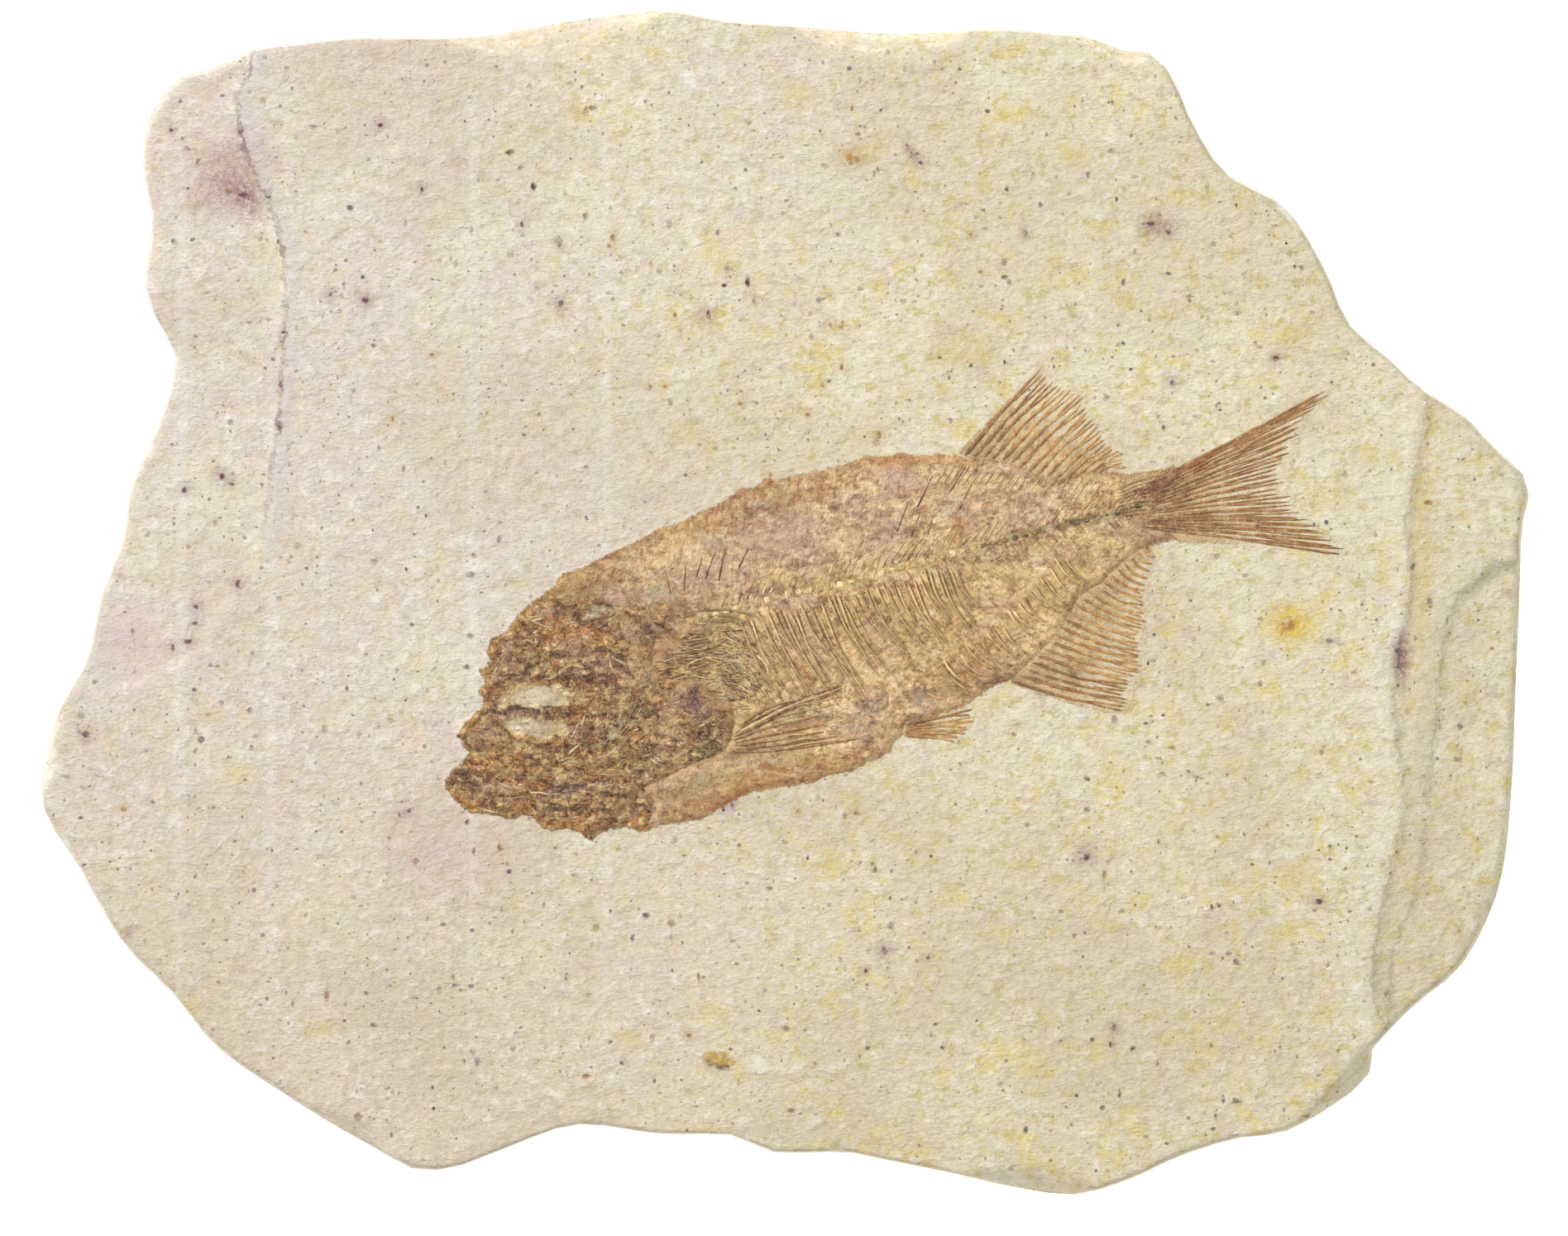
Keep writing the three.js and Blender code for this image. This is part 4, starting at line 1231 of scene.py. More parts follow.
SKULL_MARKS: tuple[Mark, ...] = (
    # skull roof
    blot(Tint.LILAC, -36.5, -5.9, 2.2, 1.3, 52, 0.62, 0.02),
    blot(Tint.LILAC, -31.6, -1, 1.3, 0.7, 20, 0.45),
    blot(Tint.ORANGE, -35, -3.2, 1.4, 0.5, 50, 0.4), blot(Tint.RUST, -33.2, -2.7, 0.7, 0.5, 0, 0.7),
    blot(Tint.RUST, -29.1, -3.5, 0.6, 0.4, 0, 0.8), blot(Tint.RED, -32.6, -5, 1.6, 0.7, 15, 0.6),
    blot(Tint.LILAC, -28, -5, 2.4, 0.8, 12, 0.5), blot(Tint.LILAC, -29.6, -1.6, 1.4, 0.6, 0, 0.45),
    stroke(Tint.DARK, 0.7, (-30.6, 0), (-28.4, -0.6), (-26.6, -0.4), strength=0.7),
    stroke(Tint.DARK, 0.6, (-28.4, -0.8), (-26.8, -1.6), (-25.8, -1.3), strength=0.6),
    blot(Tint.GREY, -24.5, -1.1, 2.4, 1.0, 15, 0.75, 0.03), blot(Tint.GREY, -22.8, -0.4, 1.2, 0.45, 0, 0.6),
    stroke(Tint.DARK, 0.55, (-25.4, -0.1), (-24, -0.3), (-22.2, -0.5), strength=0.85),
    stroke(Tint.RED, 0.7, (-26.2, -3.4), (-24, -2.4), (-21.8, -2), (-19.6, -1.7), strength=0.75,
           height=0.05),
    stroke(Tint.ORANGE, 0.5, (-29.2, -0.2), (-26.6, 0.1), (-24.6, 0.1), strength=0.5),
    blot(Tint.PURPLE, -18.3, -3.3, 1.5, 1.5, 0, 0.7), blot(Tint.DARK, -18.1, -4.1, 0.8, 0.7, 0, 0.7),
    blot(Tint.PURPLE, -15.6, -2.7, 1.1, 0.6, -35, 0.6), blot(Tint.MAUVE, -17.6, -6, 0.8, 1.6, 0, 0.5),
    stroke(Tint.DARK, 0.5, (-18.4, -0.9), (-17.4, -2.2), (-16.4, -3.4), strength=0.6),
    # gill cover
    blot(Tint.TAN, -20.8, -4.6, 1.7, 2.1, 0, 0.7, 0.05), blot(Tint.LILAC, -20.2, -4.2, 1.1, 1.2, 0, 0.45),
    stroke(Tint.RED, 0.35, (-21.8, -2.6), (-21.6, -4.2), (-21, -5), (-20.4, -6), strength=0.85),
    blot(Tint.TAN, -19.6, -8, 1.5, 2.2, 0, 0.55, 0.04), blot(Tint.BLACK, -17.6, -7, 0.5, 0.4, 0, 0.7),
    blot(Tint.GREY, -18.1, -9.6, 0.5, 0.5, 0, 0.7),
    # brow region
    stroke(Tint.DARK, 0.8, (-27.4, -6.3), (-25, -6.2), (-22.6, -6.3), (-20.8, -6.1), strength=0.7,
           height=0.04),
    stroke(Tint.DARK, 0.4, (-31.2, -6.4), (-30.6, -7.1), (-29, -6.9), strength=0.85),
    stroke(Tint.LILAC, 0.7, (-30.2, -7.6), (-27.6, -7.4), (-24.8, -7.6), (-22, -7.2), strength=0.6,
           height=0.04),
    stroke(Tint.GREY, 0.45, (-34, -9), (-32.8, -8.9), (-31.6, -8.3), (-30.6, -7.8), strength=0.75),
    stroke(Tint.TAN, 1.0, (-36.6, -9.3), (-35.2, -8.6), (-34.2, -7.2), strength=0.5),
    blot(Tint.RED, -36.2, -7.7, 1.5, 0.8, 30, 0.6), blot(Tint.BROWN, -29, -8.9, 2.2, 0.6, 0, 0.6),
    stroke(Tint.DARK, 0.75, (-38.6, -10), (-36, -9.7), (-33.6, -9.7), (-31, -9.9), (-28, -9.9), (-24, -9.8),
           (-22.6, -9.6), strength=0.85, height=0.06),
    blot(Tint.LILAC, -24.4, -8.4, 1.8, 0.7, 0, 0.5), blot(Tint.RED, -22, -8.9, 1.5, 0.7, -10, 0.6),
    stroke(Tint.OCHRE, 0.7, (-40.4, -9), (-39.6, -9.7), (-38.9, -8.6), strength=0.6),
    stroke(Tint.DARK, 0.35, (-38.2, -5.6), (-38.1, -6.6), (-38.6, -7.8), (-39.4, -9.2), strength=0.7),
    # snout and upper jaw
    blot(Tint.RED, -38.6, -11.4, 1.4, 0.8, 30, 0.6), blot(Tint.DARK, -38.9, -12.9, 1.1, 0.4, -20, 0.6),
    stroke(Tint.BLACK, 0.3, (-36.6, -10.4), (-37, -11.4), (-37.8, -12.2), strength=0.7),
    blot(Tint.PALE, -36.9, -13, 1.3, 0.55, 30, 0.85, -0.05),
    blot(Tint.LILAC, -40.4, -17.2, 1.9, 1.2, 25, 0.55, 0.04),
    stroke(Tint.BLACK, 0.5, (-40.4, -14.4), (-41.3, -15.6), (-42.1, -16.8), (-42.5, -18.2), (-42.1, -19.4),
           (-41.6, -20.2), strength=0.85, height=0.08),
    stroke(Tint.ORANGE, 0.4, (-43.2, -17.6), (-42.6, -16.5), (-41.4, -15.1), strength=0.6),
    blot(Tint.TAN, -39.2, -18.8, 1.6, 0.6, 10, 0.5), blot(Tint.OLIVE, -37.4, -19.2, 1.6, 0.7, 0, 0.45),
    stroke(Tint.DARK, 0.5, (-40.8, -20.2), (-39, -20.6), (-37.4, -20.2), (-35, -21.2), strength=0.55),
    # eye socket: pale stone either side of a dark bar
    blot(Tint.IVORY, -33, -12.4, 4.4, 1.7, 0, 1.0), blot(Tint.IVORY, -33, -16.8, 4.4, 1.3, 0, 1.0),
    blot(Tint.YELLOW, -35.6, -12.4, 1.9, 0.9, 40, 0.8), blot(Tint.YELLOW, -30.4, -13, 1.3, 0.8, -20, 0.8),
    blot(Tint.YELLOW, -33.6, -11, 1.6, 0.5, 0, 0.7), blot(Tint.OCHRE, -36.6, -13.2, 0.9, 0.5, 0, 0.6),
    blot(Tint.YELLOW, -30.6, -16.6, 1.8, 0.8, 20, 0.8), blot(Tint.OCHRE, -33.4, -17.6, 1.2, 0.4, 0, 0.6),
    stroke(Tint.DARK, 0.8, (-40.2, -13.9), (-38.4, -14.5), (-36.2, -14.2), (-34, -14.2), (-32, -14.5),
           (-30, -14.9), (-28.2, -15), strength=0.95, height=0.12),
    stroke(Tint.MAUVE, 0.45, (-35.6, -14.9), (-33, -15.1), (-30.6, -15.4), strength=0.6),
    stroke(Tint.RED, 0.8, (-37.8, -16.8), (-36.2, -17.8), (-34.6, -18.5), (-32.8, -19.2), (-31, -19.5),
           (-29.6, -19.2), strength=0.8, height=0.08),
    stroke(Tint.YELLOW, 0.5, (-37.4, -16.7), (-35.6, -17.7), (-33.2, -18.5), (-31, -17.9), (-29, -16.8),
           strength=0.7),
    # cheek
    blot(Tint.RUST, -25.3, -15.3, 1.9, 1.6, 0, 0.45), blot(Tint.RED, -26, -17, 1.2, 1.0, 0, 0.5),
    blot(Tint.TAN, -26.4, -12.4, 2.2, 1.0, 10, 0.45), blot(Tint.BROWN, -23.4, -13.4, 1.2, 2.4, 10, 0.5),
    blot(Tint.RED, -22.6, -12, 0.6, 1.9, 0, 0.75, 0.06), blot(Tint.RED, -22.8, -9.6, 0.9, 0.8, 0, 0.6),
    stroke(Tint.SAND, 1.3, (-20.8, -9.8), (-20.9, -11.4), (-21.4, -13), (-22.2, -14.4), strength=0.65,
           height=0.06),
    stroke(Tint.GREY, 0.9, (-25.6, -19.3), (-24.2, -18.6), (-22.8, -17.4), (-21.6, -15.6), strength=0.7,
           height=0.05),
    stroke(Tint.DARK, 0.4, (-26.8, -18.6), (-26.6, -19.4), (-25.2, -20.2), strength=0.55),
    blot(Tint.OLIVE, -30.8, -20.5, 2.6, 0.8, 0, 0.55), blot(Tint.YELLOW, -28.8, -21, 1.4, 0.35, 0, 0.4),
    stroke(Tint.RED, 0.4, (-36.6, -20), (-34.6, -20.6), (-32.4, -20.9), (-30.6, -20.4), strength=0.65),
    blot(Tint.TAN, -24.4, -20.6, 2.2, 0.7, 20, 0.5), blot(Tint.OLIVE, -22, -19.2, 1.4, 0.6, 30, 0.45),
    # ring behind the cheek
    blot(Tint.OLIVE, -19.6, -15, 2.3, 1.9, 0, 0.6), blot(Tint.TAN, -19.3, -16.4, 1.2, 0.8, 0, 0.5),
    stroke(Tint.MOSS, 0.45, (-21.4, -15.4), (-20.8, -14.3), (-19.4, -14), (-18.2, -14.6), (-17.8, -16),
           strength=0.75, height=0.05),
    blot(Tint.BLACK, -19.5, -14.7, 0.8, 0.22, 0, 0.85), blot(Tint.GREY, -20.2, -16.1, 0.4, 0.4, 0, 0.75),
    stroke(Tint.DARK, 0.35, (-21, -16), (-21.4, -17.4), (-20.8, -18.6), (-20.2, -19.2), strength=0.7),
    blot(Tint.TAN, -18, -12.2, 1.2, 0.8, 0, 0.5), stroke(Tint.RUST, 0.5, (-16.7, -12.8), (-16.4, -14),
                                                         (-16.8, -15.2), strength=0.8),
    blot(Tint.BROWN, -16.6, -17.6, 1.1, 2, 0, 0.45), blot(Tint.RED, -16.9, -19.4, 1, 0.7, 0, 0.6),
    blot(Tint.SAND, -18.2, -17.6, 0.7, 1.3, -20, 0.5), blot(Tint.PURPLE, -19.4, -22.4, 1.3, 0.9, 0, 0.55),
    blot(Tint.RED, -19, -20.6, 1.2, 0.7, 30, 0.5), blot(Tint.MAUVE, -17, -21.4, 1.2, 0.7, 20, 0.45),
    # shoulder: purple patch, orange splint and upright bones
    blot(Tint.MAUVE, -11.4, -12.8, 2.9, 3.4, 10, 0.8), blot(Tint.PURPLE, -11.8, -13.2, 1.6, 2.0, 0, 0.5),
    blot(Tint.PURPLE, -11.3, -11.4, 1.4, 0.9, 0, 0.5), blot(Tint.TAN, -14.6, -16.6, 1.6, 1.5, 0, 0.6),
    stroke(Tint.RUST, 1.0, (-11.9, -17.4), (-12.9, -18.6), (-13.8, -19.7), strength=0.9, height=0.08),
    stroke(Tint.RED, 0.9, (-7.3, -13.2), (-7.9, -14.8), (-7.8, -16.8), (-8.1, -18.8), strength=0.8,
           height=0.1),
    stroke(Tint.LILAC, 0.6, (-8.9, -13.6), (-9, -15.6), (-9.1, -17.6), strength=0.6, height=0.04),
    stroke(Tint.DARK, 0.35, (-9.7, -14), (-9.8, -16), (-9.7, -18), strength=0.7),
    stroke(Tint.DARK, 0.25, (-8.5, -13.4), (-8.5, -15.4), (-8.6, -17.6), strength=0.7),
    blot(Tint.MOSS, -9.6, -19.6, 2.4, 0.9, 15, 0.7), blot(Tint.DARK, -8.8, -20, 1.4, 0.5, 15, 0.5),
    stroke(Tint.DARK, 0.35, (-25, -22.4), (-21, -21.6), (-17.6, -20.4), strength=0.45),
    stroke(Tint.SAND, 0.5, (-24.6, -23), (-20.4, -22.4), (-16.4, -21.2), (-12.4, -19.4), strength=0.5),
    stroke(Tint.BLACK, 0.3, (-18.2, -24), (-16.6, -22.9), (-14.4, -21.8), strength=0.7),
    stroke(Tint.DARK, 0.4, (-15, -23), (-12.4, -21.4), (-10.4, -20.4), strength=0.5),
)
JAW_MARKS: tuple[Mark, ...] = (
    blot(Tint.RED, -42.2, -23.6, 2.9, 1.2, -4, 1.0, 0.05), blot(Tint.LILAC, -38.2, -24.6, 2.2, 0.9, 0, 0.6),
    blot(Tint.TAN, -31, -22.4, 3.6, 0.9, -4, 0.6), blot(Tint.SAND, -25.4, -22.6, 2.6, 0.6, -8, 0.6),
    stroke(Tint.DARK, 1.5, (-44.4, -23.2), (-42.6, -22.9), (-40.8, -23), (-39.5, -23.4), strength=0.8,
           height=0.06),
    stroke(Tint.TAN, 0.6, (-43.6, -21.9), (-42.2, -21.8), (-40.4, -22), strength=0.5),
    stroke(Tint.BLACK, 0.25, (-44.6, -24.1), (-42, -23.9), (-39.8, -23.8), strength=0.75),
    stroke(Tint.RED, 1.0, (-44.4, -24.7), (-42, -24.7), (-40, -25), strength=0.6, height=0.05),
    stroke(Tint.DARK, 0.45, (-40, -25), (-39.2, -25.8), (-39.8, -26.4), strength=0.65),
    blot(Tint.TAN, -41.6, -25.9, 1.4, 0.6, -20, 0.5), stroke(Tint.ORANGE, 0.8, (-44, -25.9), (-42.6, -27.1),
                                                             (-40.8, -27.8), strength=0.6),
    blot(Tint.LILAC, -35.8, -26.4, 1.9, 0.6, 0, 0.55), blot(Tint.TAN, -36.6, -24.8, 2.2, 0.7, 0, 0.5),
    blot(Tint.RUST, -37, -22.6, 2.6, 0.6, 0, 0.45), blot(Tint.RED, -34.4, -23, 2, 0.5, 0, 0.5),
    stroke(Tint.SAND, 0.5, (-33, -23.2), (-29, -23), (-25, -23.4), strength=0.5),
    blot(Tint.MOSS, -37.6, -27.6, 1.8, 0.5, 0, 0.5),
    stroke(Tint.PURPLE, 1.3, (-33, -25.9), (-31.4, -25.3), (-29.4, -24.8), (-26.6, -24.6), strength=0.8),
    blot(Tint.PURPLE, -29.8, -24.3, 1.1, 0.6, 0, 0.75), blot(Tint.BLACK, -29.9, -24.1, 0.5, 0.3, 0, 0.6),
    stroke(Tint.LILAC, 0.5, (-31, -26.3), (-28.4, -26.2), (-26, -26), strength=0.5),
    stroke(Tint.ORANGE, 0.5, (-33, -26.7), (-30, -26.6), (-25, -26.5), strength=0.5),
    stroke(Tint.DARK, 0.7, (-33.8, -27.2), (-31.4, -27.4), (-28, -27.4), (-24.2, -27.6), strength=0.85,
           height=0.07),
    stroke(Tint.RED, 0.6, (-31, -28.3), (-28.6, -28.5), (-26, -28.1), strength=0.6),
    stroke(Tint.ORANGE, 1.0, (-33, -28.6), (-31.4, -29.6), (-29, -29.6), (-27, -29), strength=0.65),
    blot(Tint.BROWN, -21.5, -28.2, 2.5, 0.9, 5, 0.8, 0.08), blot(Tint.MAUVE, -21, -28, 1.9, 0.6, 5, 0.5),
    stroke(Tint.BLACK, 0.3, (-23.7, -27.8), (-22.6, -28.8), (-21, -29.2), strength=0.75),
    blot(Tint.RED, -24.8, -29.2, 1.3, 0.9, 40, 0.6), blot(Tint.BROWN, -25.7, -30.8, 1.0, 0.8, 0, 0.7),
    blot(Tint.ORANGE, -23.3, -26.4, 0.7, 0.5, 0, 0.6), blot(Tint.RED, -20.6, -25, 1.0, 0.7, 0, 0.65),
    stroke(Tint.TAN, 0.6, (-22.6, -26.4), (-20, -26.4), (-18, -26), strength=0.5),
    blot(Tint.MOSS, -24.4, -25.4, 1.2, 0.4, 0, 0.5),
)


def trunk_marks() -> list[Mark]:
    """Stains, bands and streaks of the trunk.

    Returns:
        The marks, in the order they are painted.
    """
    return [
        stroke(Tint.ROSE, 8.0, (-26, 0), (-14, 4), (-4, 8), (8, 12), (20, 14), (30, 14), strength=0.26,
               soft=8.0),
        stroke(Tint.OCHRE, 10.0, (0, -8), (10, -7), (20, -5), (32, 0), (40, 5), strength=0.3, soft=8.0),
        blot(Tint.RAY, 49.6, 12.6, 3.4, 4.2, 15, 0.75, soft=0.8),
        blot(Tint.MAUVE, 50.6, 15.2, 2.6, 1.6, 40, 0.5, soft=0.8),
        # throat
        stroke(Tint.TAN, 6.0, (-20, -26), (-11, -24.4), (-4, -21), (3, -19), strength=0.65, soft=3.0),
        blot(Tint.BROWN, -15.4, -25.4, 1.8, 0.7, 14, 0.6), blot(Tint.RED, -16.6, -23.4, 1.2, 0.5, 20, 0.6),
        blot(Tint.KHAKI, -8, -23.6, 2.6, 0.9, 18, 0.6), blot(Tint.BROWN, -6, -20.2, 2.2, 0.6, 24, 0.5),
        # yellow-green band of the backbone
        stroke(Tint.OLIVE, 3.4, (-2, 0.6), (4, 1.9), (10, 3.4), (16, 4.9), (22, 6.4), (28, 7.8), (34, 9),
               strength=0.25, soft=2.4),
        stroke(Tint.YELLOW, 2.0, (4, 1.6), (10, 3.2), (18, 5.6), (26, 7.4), strength=0.35, soft=2.0),
        stroke(Tint.MOSS, 1.2, (30, 8.6), (36, 9.9), (41, 11.1), (46, 12.4), (50, 13.9), strength=0.6,
               soft=1.0),
        stroke(Tint.BLACK, 0.5, (36.5, 10.2), (38, 10.6), (40, 10.9), (42.2, 11.3), strength=0.75),
        stroke(Tint.BLACK, 0.45, (42.6, 11.5), (45, 12.1), (47.6, 13), (49.8, 13.7), strength=0.6),
        # lilac clouds
        blot(Tint.LILAC, -9, 4, 7, 3, 20, 0.5, soft=0.8), blot(Tint.LILAC, 0, 9, 6, 3, 10, 0.45, soft=0.8),
        blot(Tint.LILAC, 14.5, 17, 3, 1.6, 0, 0.5, soft=0.8),
        blot(Tint.LILAC, 12, 9, 4, 3, 0, 0.4, soft=0.8),
        blot(Tint.LILAC, 24, 11, 2, 2.4, 0, 0.5, soft=0.8),
        blot(Tint.LILAC, 2, -6, 4, 2.4, -40, 0.45, soft=0.8),
        blot(Tint.LILAC, 36, 6, 3, 1.2, 0, 0.35, soft=0.8),
        blot(Tint.LILAC, 10, -17.5, 2.6, 1.8, 10, 0.5, soft=0.8),
        blot(Tint.LILAC, 18.3, -13, 1.8, 1.2, -40, 0.6, soft=0.6),
        blot(Tint.LILAC, 47, 9, 3, 1.5, 0, 0.4, soft=0.8),
        blot(Tint.GREY, -17, 1.4, 2.2, 1.2, 0, 0.6, soft=0.7),
        blot(Tint.GREY, 18.6, -13.2, 1.0, 0.6, -40, 0.6),
        blot(Tint.MAUVE, 5, 6, 1.2, 2, 10, 0.45), blot(Tint.MAUVE, -3, 1, 2.6, 1.2, 15, 0.45, soft=0.6),
        # ochre and brown clouds
        blot(Tint.ORANGE, -24, 3.4, 5, 1.3, 18, 0.4, soft=0.8),
        blot(Tint.BROWN, -26, 2, 4, 1.0, 10, 0.4, soft=0.7),
        blot(Tint.ORANGE, -12, 9.6, 6, 1.4, 28, 0.5, soft=0.7),
        blot(Tint.ORANGE, -9, 10.2, 7, 0.9, 6, 0.35, soft=0.8),
        blot(Tint.BROWN, 0, 13, 6, 1.6, 10, 0.4, soft=0.8),
        blot(Tint.ORANGE, 3, 15, 5, 1.4, 10, 0.45, soft=0.7),
        blot(Tint.ORANGE, 14, 19, 4, 1.2, 0, 0.55, soft=0.6),
        blot(Tint.RUST, 12, 18, 3, 1, 0, 0.35, soft=0.7),
        blot(Tint.ORANGE, 21, 18.9, 3.4, 0.8, 0, 0.45, soft=0.6),
        blot(Tint.ORANGE, 23, 9.6, 0.7, 2.2, 0, 0.6),
        blot(Tint.ORANGE, 19, 11.6, 0.8, 1.2, 0, 0.4), blot(Tint.RUST, 42, 2.6, 2, 0.8, 50, 0.35),
        blot(Tint.ORANGE, 26, -9, 5, 3, 30, 0.35, soft=0.8),
        blot(Tint.ORANGE, 22, -11, 3, 2, 20, 0.35, soft=0.8),
        stroke(Tint.ORANGE, 3.2, (-16, -28), (-10, -26.6), (-4, -23.6), (2, -22.6), (8, -21.2), (13, -19.6),
               strength=0.5, soft=1.6),
        stroke(Tint.RUST, 1.4, (-12, -28.4), (-8, -26.2), (-3, -24.6), (3, -23.6), strength=0.35, soft=0.9),
        stroke(Tint.RUST, 0.9, (-5, -24.6), (-1, -24), (3.4, -23.2), strength=0.5, soft=0.7),
        blot(Tint.RUST, -2.6, -22.2, 1.6, 0.8, 10, 0.55), blot(Tint.ORANGE, 3, -16.4, 2.6, 0.9, 12, 0.5),
        blot(Tint.OLIVE, -12, -24.6, 3.2, 1.2, 22, 0.5, soft=0.7),
        blot(Tint.GREY, -11, -23.7, 1.2, 0.5, 20, 0.5),
        blot(Tint.LILAC, -6.6, -21.4, 2, 0.6, 15, 0.5), blot(Tint.YELLOW, -4.6, -14.6, 1.8, 1.4, 0, 0.5,
                                                             soft=0.6),
        blot(Tint.ORANGE, 2.4, -8.6, 1.6, 0.8, -55, 0.6),
        blot(Tint.YELLOW, 5, 3.4, 3, 1.2, 12, 0.35, soft=0.7),
        blot(Tint.YELLOW, 28, 4, 3, 1.6, 12, 0.3, soft=0.8),
        blot(Tint.YELLOW, 38, 3.6, 2.6, 1.2, 0, 0.35, soft=0.8),
        # mouth of the body behind the skull
        blot(Tint.YELLOW, -11.6, -2.6, 1.2, 0.6, 20, 0.7, 0.03),
        blot(Tint.MOSS, -10, -2.6, 1.6, 0.7, 20, 0.5),
        stroke(Tint.DARK, 0.3, (-10.4, -1.9), (-8.2, -1.7), (-5.6, -2.3), (-3.4, -3.9), (-1, -6),
               (1.4, -8.6), (3, -10.6), (4.7, -12), strength=0.75, height=0.03),
        blot(Tint.BROWN, -13, -6.4, 3.6, 2.6, 0, 0.4, soft=0.7),
        blot(Tint.OLIVE, -8, -6.2, 4, 2.6, 0, 0.4, soft=0.8),
        blot(Tint.DARK, -11.7, -9.9, 0.8, 0.5, 0, 0.6), blot(Tint.GREY, -8.4, -7.1, 0.9, 0.3, -20, 0.6),
        blot(Tint.MOSS, -14, -11.4, 2.6, 1.2, 0, 0.4), blot(Tint.BLACK, -11.6, -9.9, 0.4, 0.3, 0, 0.6),
        # dark dots
        blot(Tint.BLACK, 13, -2.7, 0.4, 0.3, 0, 0.8), blot(Tint.MAUVE, 13, -3.2, 0.9, 0.6, 0, 0.6),
        blot(Tint.BLACK, 27, 1.8, 0.4, 0.3, 0, 0.7), blot(Tint.MAUVE, 27.1, 1.6, 0.8, 0.6, 0, 0.5),
        blot(Tint.PURPLE, 11.5, -18.4, 0.5, 0.3, 0, 0.85), blot(Tint.BLACK, 30.1, -8.4, 0.35, 0.25, 0, 0.7),
        blot(Tint.BROWN, -4.4, 12.2, 1.3, 0.6, 10, 0.7), blot(Tint.PURPLE, 6.6, 12.4, 0.4, 0.3, 0, 0.7),
        blot(Tint.RUST, -2.3, 15.8, 0.9, 0.6, 0, 0.7), blot(Tint.RUST, -5.8, 14.6, 1.2, 0.5, 20, 0.6),
        blot(Tint.PURPLE, -5, 4, 0.6, 0.4, 0, 0.7), blot(Tint.BLACK, 24.6, -3.3, 0.3, 0.2, 0, 0.7),
        blot(Tint.RUST, 10.6, 1.2, 0.7, 0.4, 20, 0.7), blot(Tint.PURPLE, 5.2, 16.3, 0.7, 0.3, 10, 0.5),
    ]


@dataclass(frozen=True)
class Flake:
    """Patches of one mineral: their colour, size in mm, the noise level they start at and strength."""

    tint: Tint
    size: float
    level: float
    strength: float

    def lay(self, x: Array, y: Array, colour: Array, height: Array, seed: int) -> None:
        """Paints the patches, each with a torn border, a dark foot of painted shade and a small step.

        Patches are where f(x, y) > level, f being fractal noise drawn out along x.

        Args:
            x: Horizontal place.
            y: Vertical place.
            colour: Colours to change, one row of three per place.
            height: Relief to change, in mm.
            seed: Random field of the patches.
        """
        field = noise(x * 0.62 + 0.3 * y, y - 0.12 * x, self.size, seed, 5)
        inside = smooth(self.level, self.level + 0.05, field)
        foot = smooth(0.06, 0.01, np.abs(field - self.level + 0.04))
        colour += (self.tint.rgb - colour) * (self.strength * inside)[:, None]
        # painted shade along the foot of each patch's step
        colour *= 1 - 0.5 * foot[:, None] * np.array([0.8, 1.0, 1.1])
        height += 0.05 * inside


HEAD_FLAKES: tuple[Flake, ...] = (
    Flake(Tint.ORANGE, 3.4, 0.14, 0.75), Flake(Tint.ROSE, 3.6, 0.2, 0.8), Flake(Tint.KHAKI, 3.0, 0.24, 0.6),
    Flake(Tint.RED, 2.6, 0.22, 0.75), Flake(Tint.SAND, 2.3, 0.24, 0.85), Flake(Tint.MAUVE, 1.6, 0.34, 0.6),
    Flake(Tint.DARK, 1.1, 0.34, 0.7), Flake(Tint.BODY, 0.9, 0.32, 0.8),
)
BODY_FLAKES: tuple[Flake, ...] = (
    Flake(Tint.RAY_TIP, 2.6, 0.2, 0.5), Flake(Tint.ROSE, 3.6, 0.2, 0.7), Flake(Tint.YELLOW, 3.0, 0.22, 0.5),
    Flake(Tint.RAY, 1.3, 0.34, 0.6), Flake(Tint.PALE, 1.5, 0.28, 0.4), Flake(Tint.BROWN, 0.8, 0.42, 0.7),
    Flake(Tint.MAUVE, 0.8, 0.46, 0.6),
)


@dataclass(frozen=True)
class FilmPlan:
    """What one film of pressed bone is made from."""

    name: str
    node: str
    slot: str
    outline: Pairs
    cell: float
    thickness: float
    ground: Tint
    rear_ground: Tint
    rim: Tint
    rim_width: float
    fibre_weight: float
    crumple: float
    seed: int
    flakes: tuple[Flake, ...] = ()
    covered_by: tuple[Pairs, ...] = ()


def body_frame(x: Array, y: Array) -> tuple[Array, Array]:
    """Place along the backbone and height above it, in mm.

    Args:
        x: Horizontal place.
        y: Vertical place.

    Returns:
        Run along the backbone and signed distance from it, positive towards the back.
    """
    near = nearest(x, y, curve([(-46, -11.5), (-30, -7), *BACKBONE, (74, 20.5)], 60))
    return near.along, near.distance * near.side


def fibre_field(x: Array, y: Array) -> Array:
    """Across-fibre and along-fibre coordinates.

    Below the backbone fibres slant back and down, above it back and up, and in the throat
    they run level.
    """
    run, up = body_frame(x, y)
    slant = np.where(up < 0, 0.62, 0.42)
    across = run - slant * np.abs(up)
    along = np.abs(up) * 1.1
    level = smooth(-6, -12, x) * smooth(1.5, -2, y) + smooth(-16, -19, y - 0.18 * (x + 10))
    level = np.clip(level, 0, 1)
    return np.column_stack([across * (1 - level) + y * level, along * (1 - level) + x * level, 0 * x])


def fish_edge(x: Array, y: Array) -> Array:
    """Distance to the outline of head and body together, positive inside.

    The three outlines overlap; the logarithm of the sum of their exponentials joins them
    without a dip where they meet.
    """
    soft = 0.8
    gaps = [inside_distance(x, y, np.array(pairs)) / soft for pairs in (SKULL, JAW, TRUNK)]
    return soft * np.logaddexp(np.logaddexp(gaps[0], gaps[1]), gaps[2])


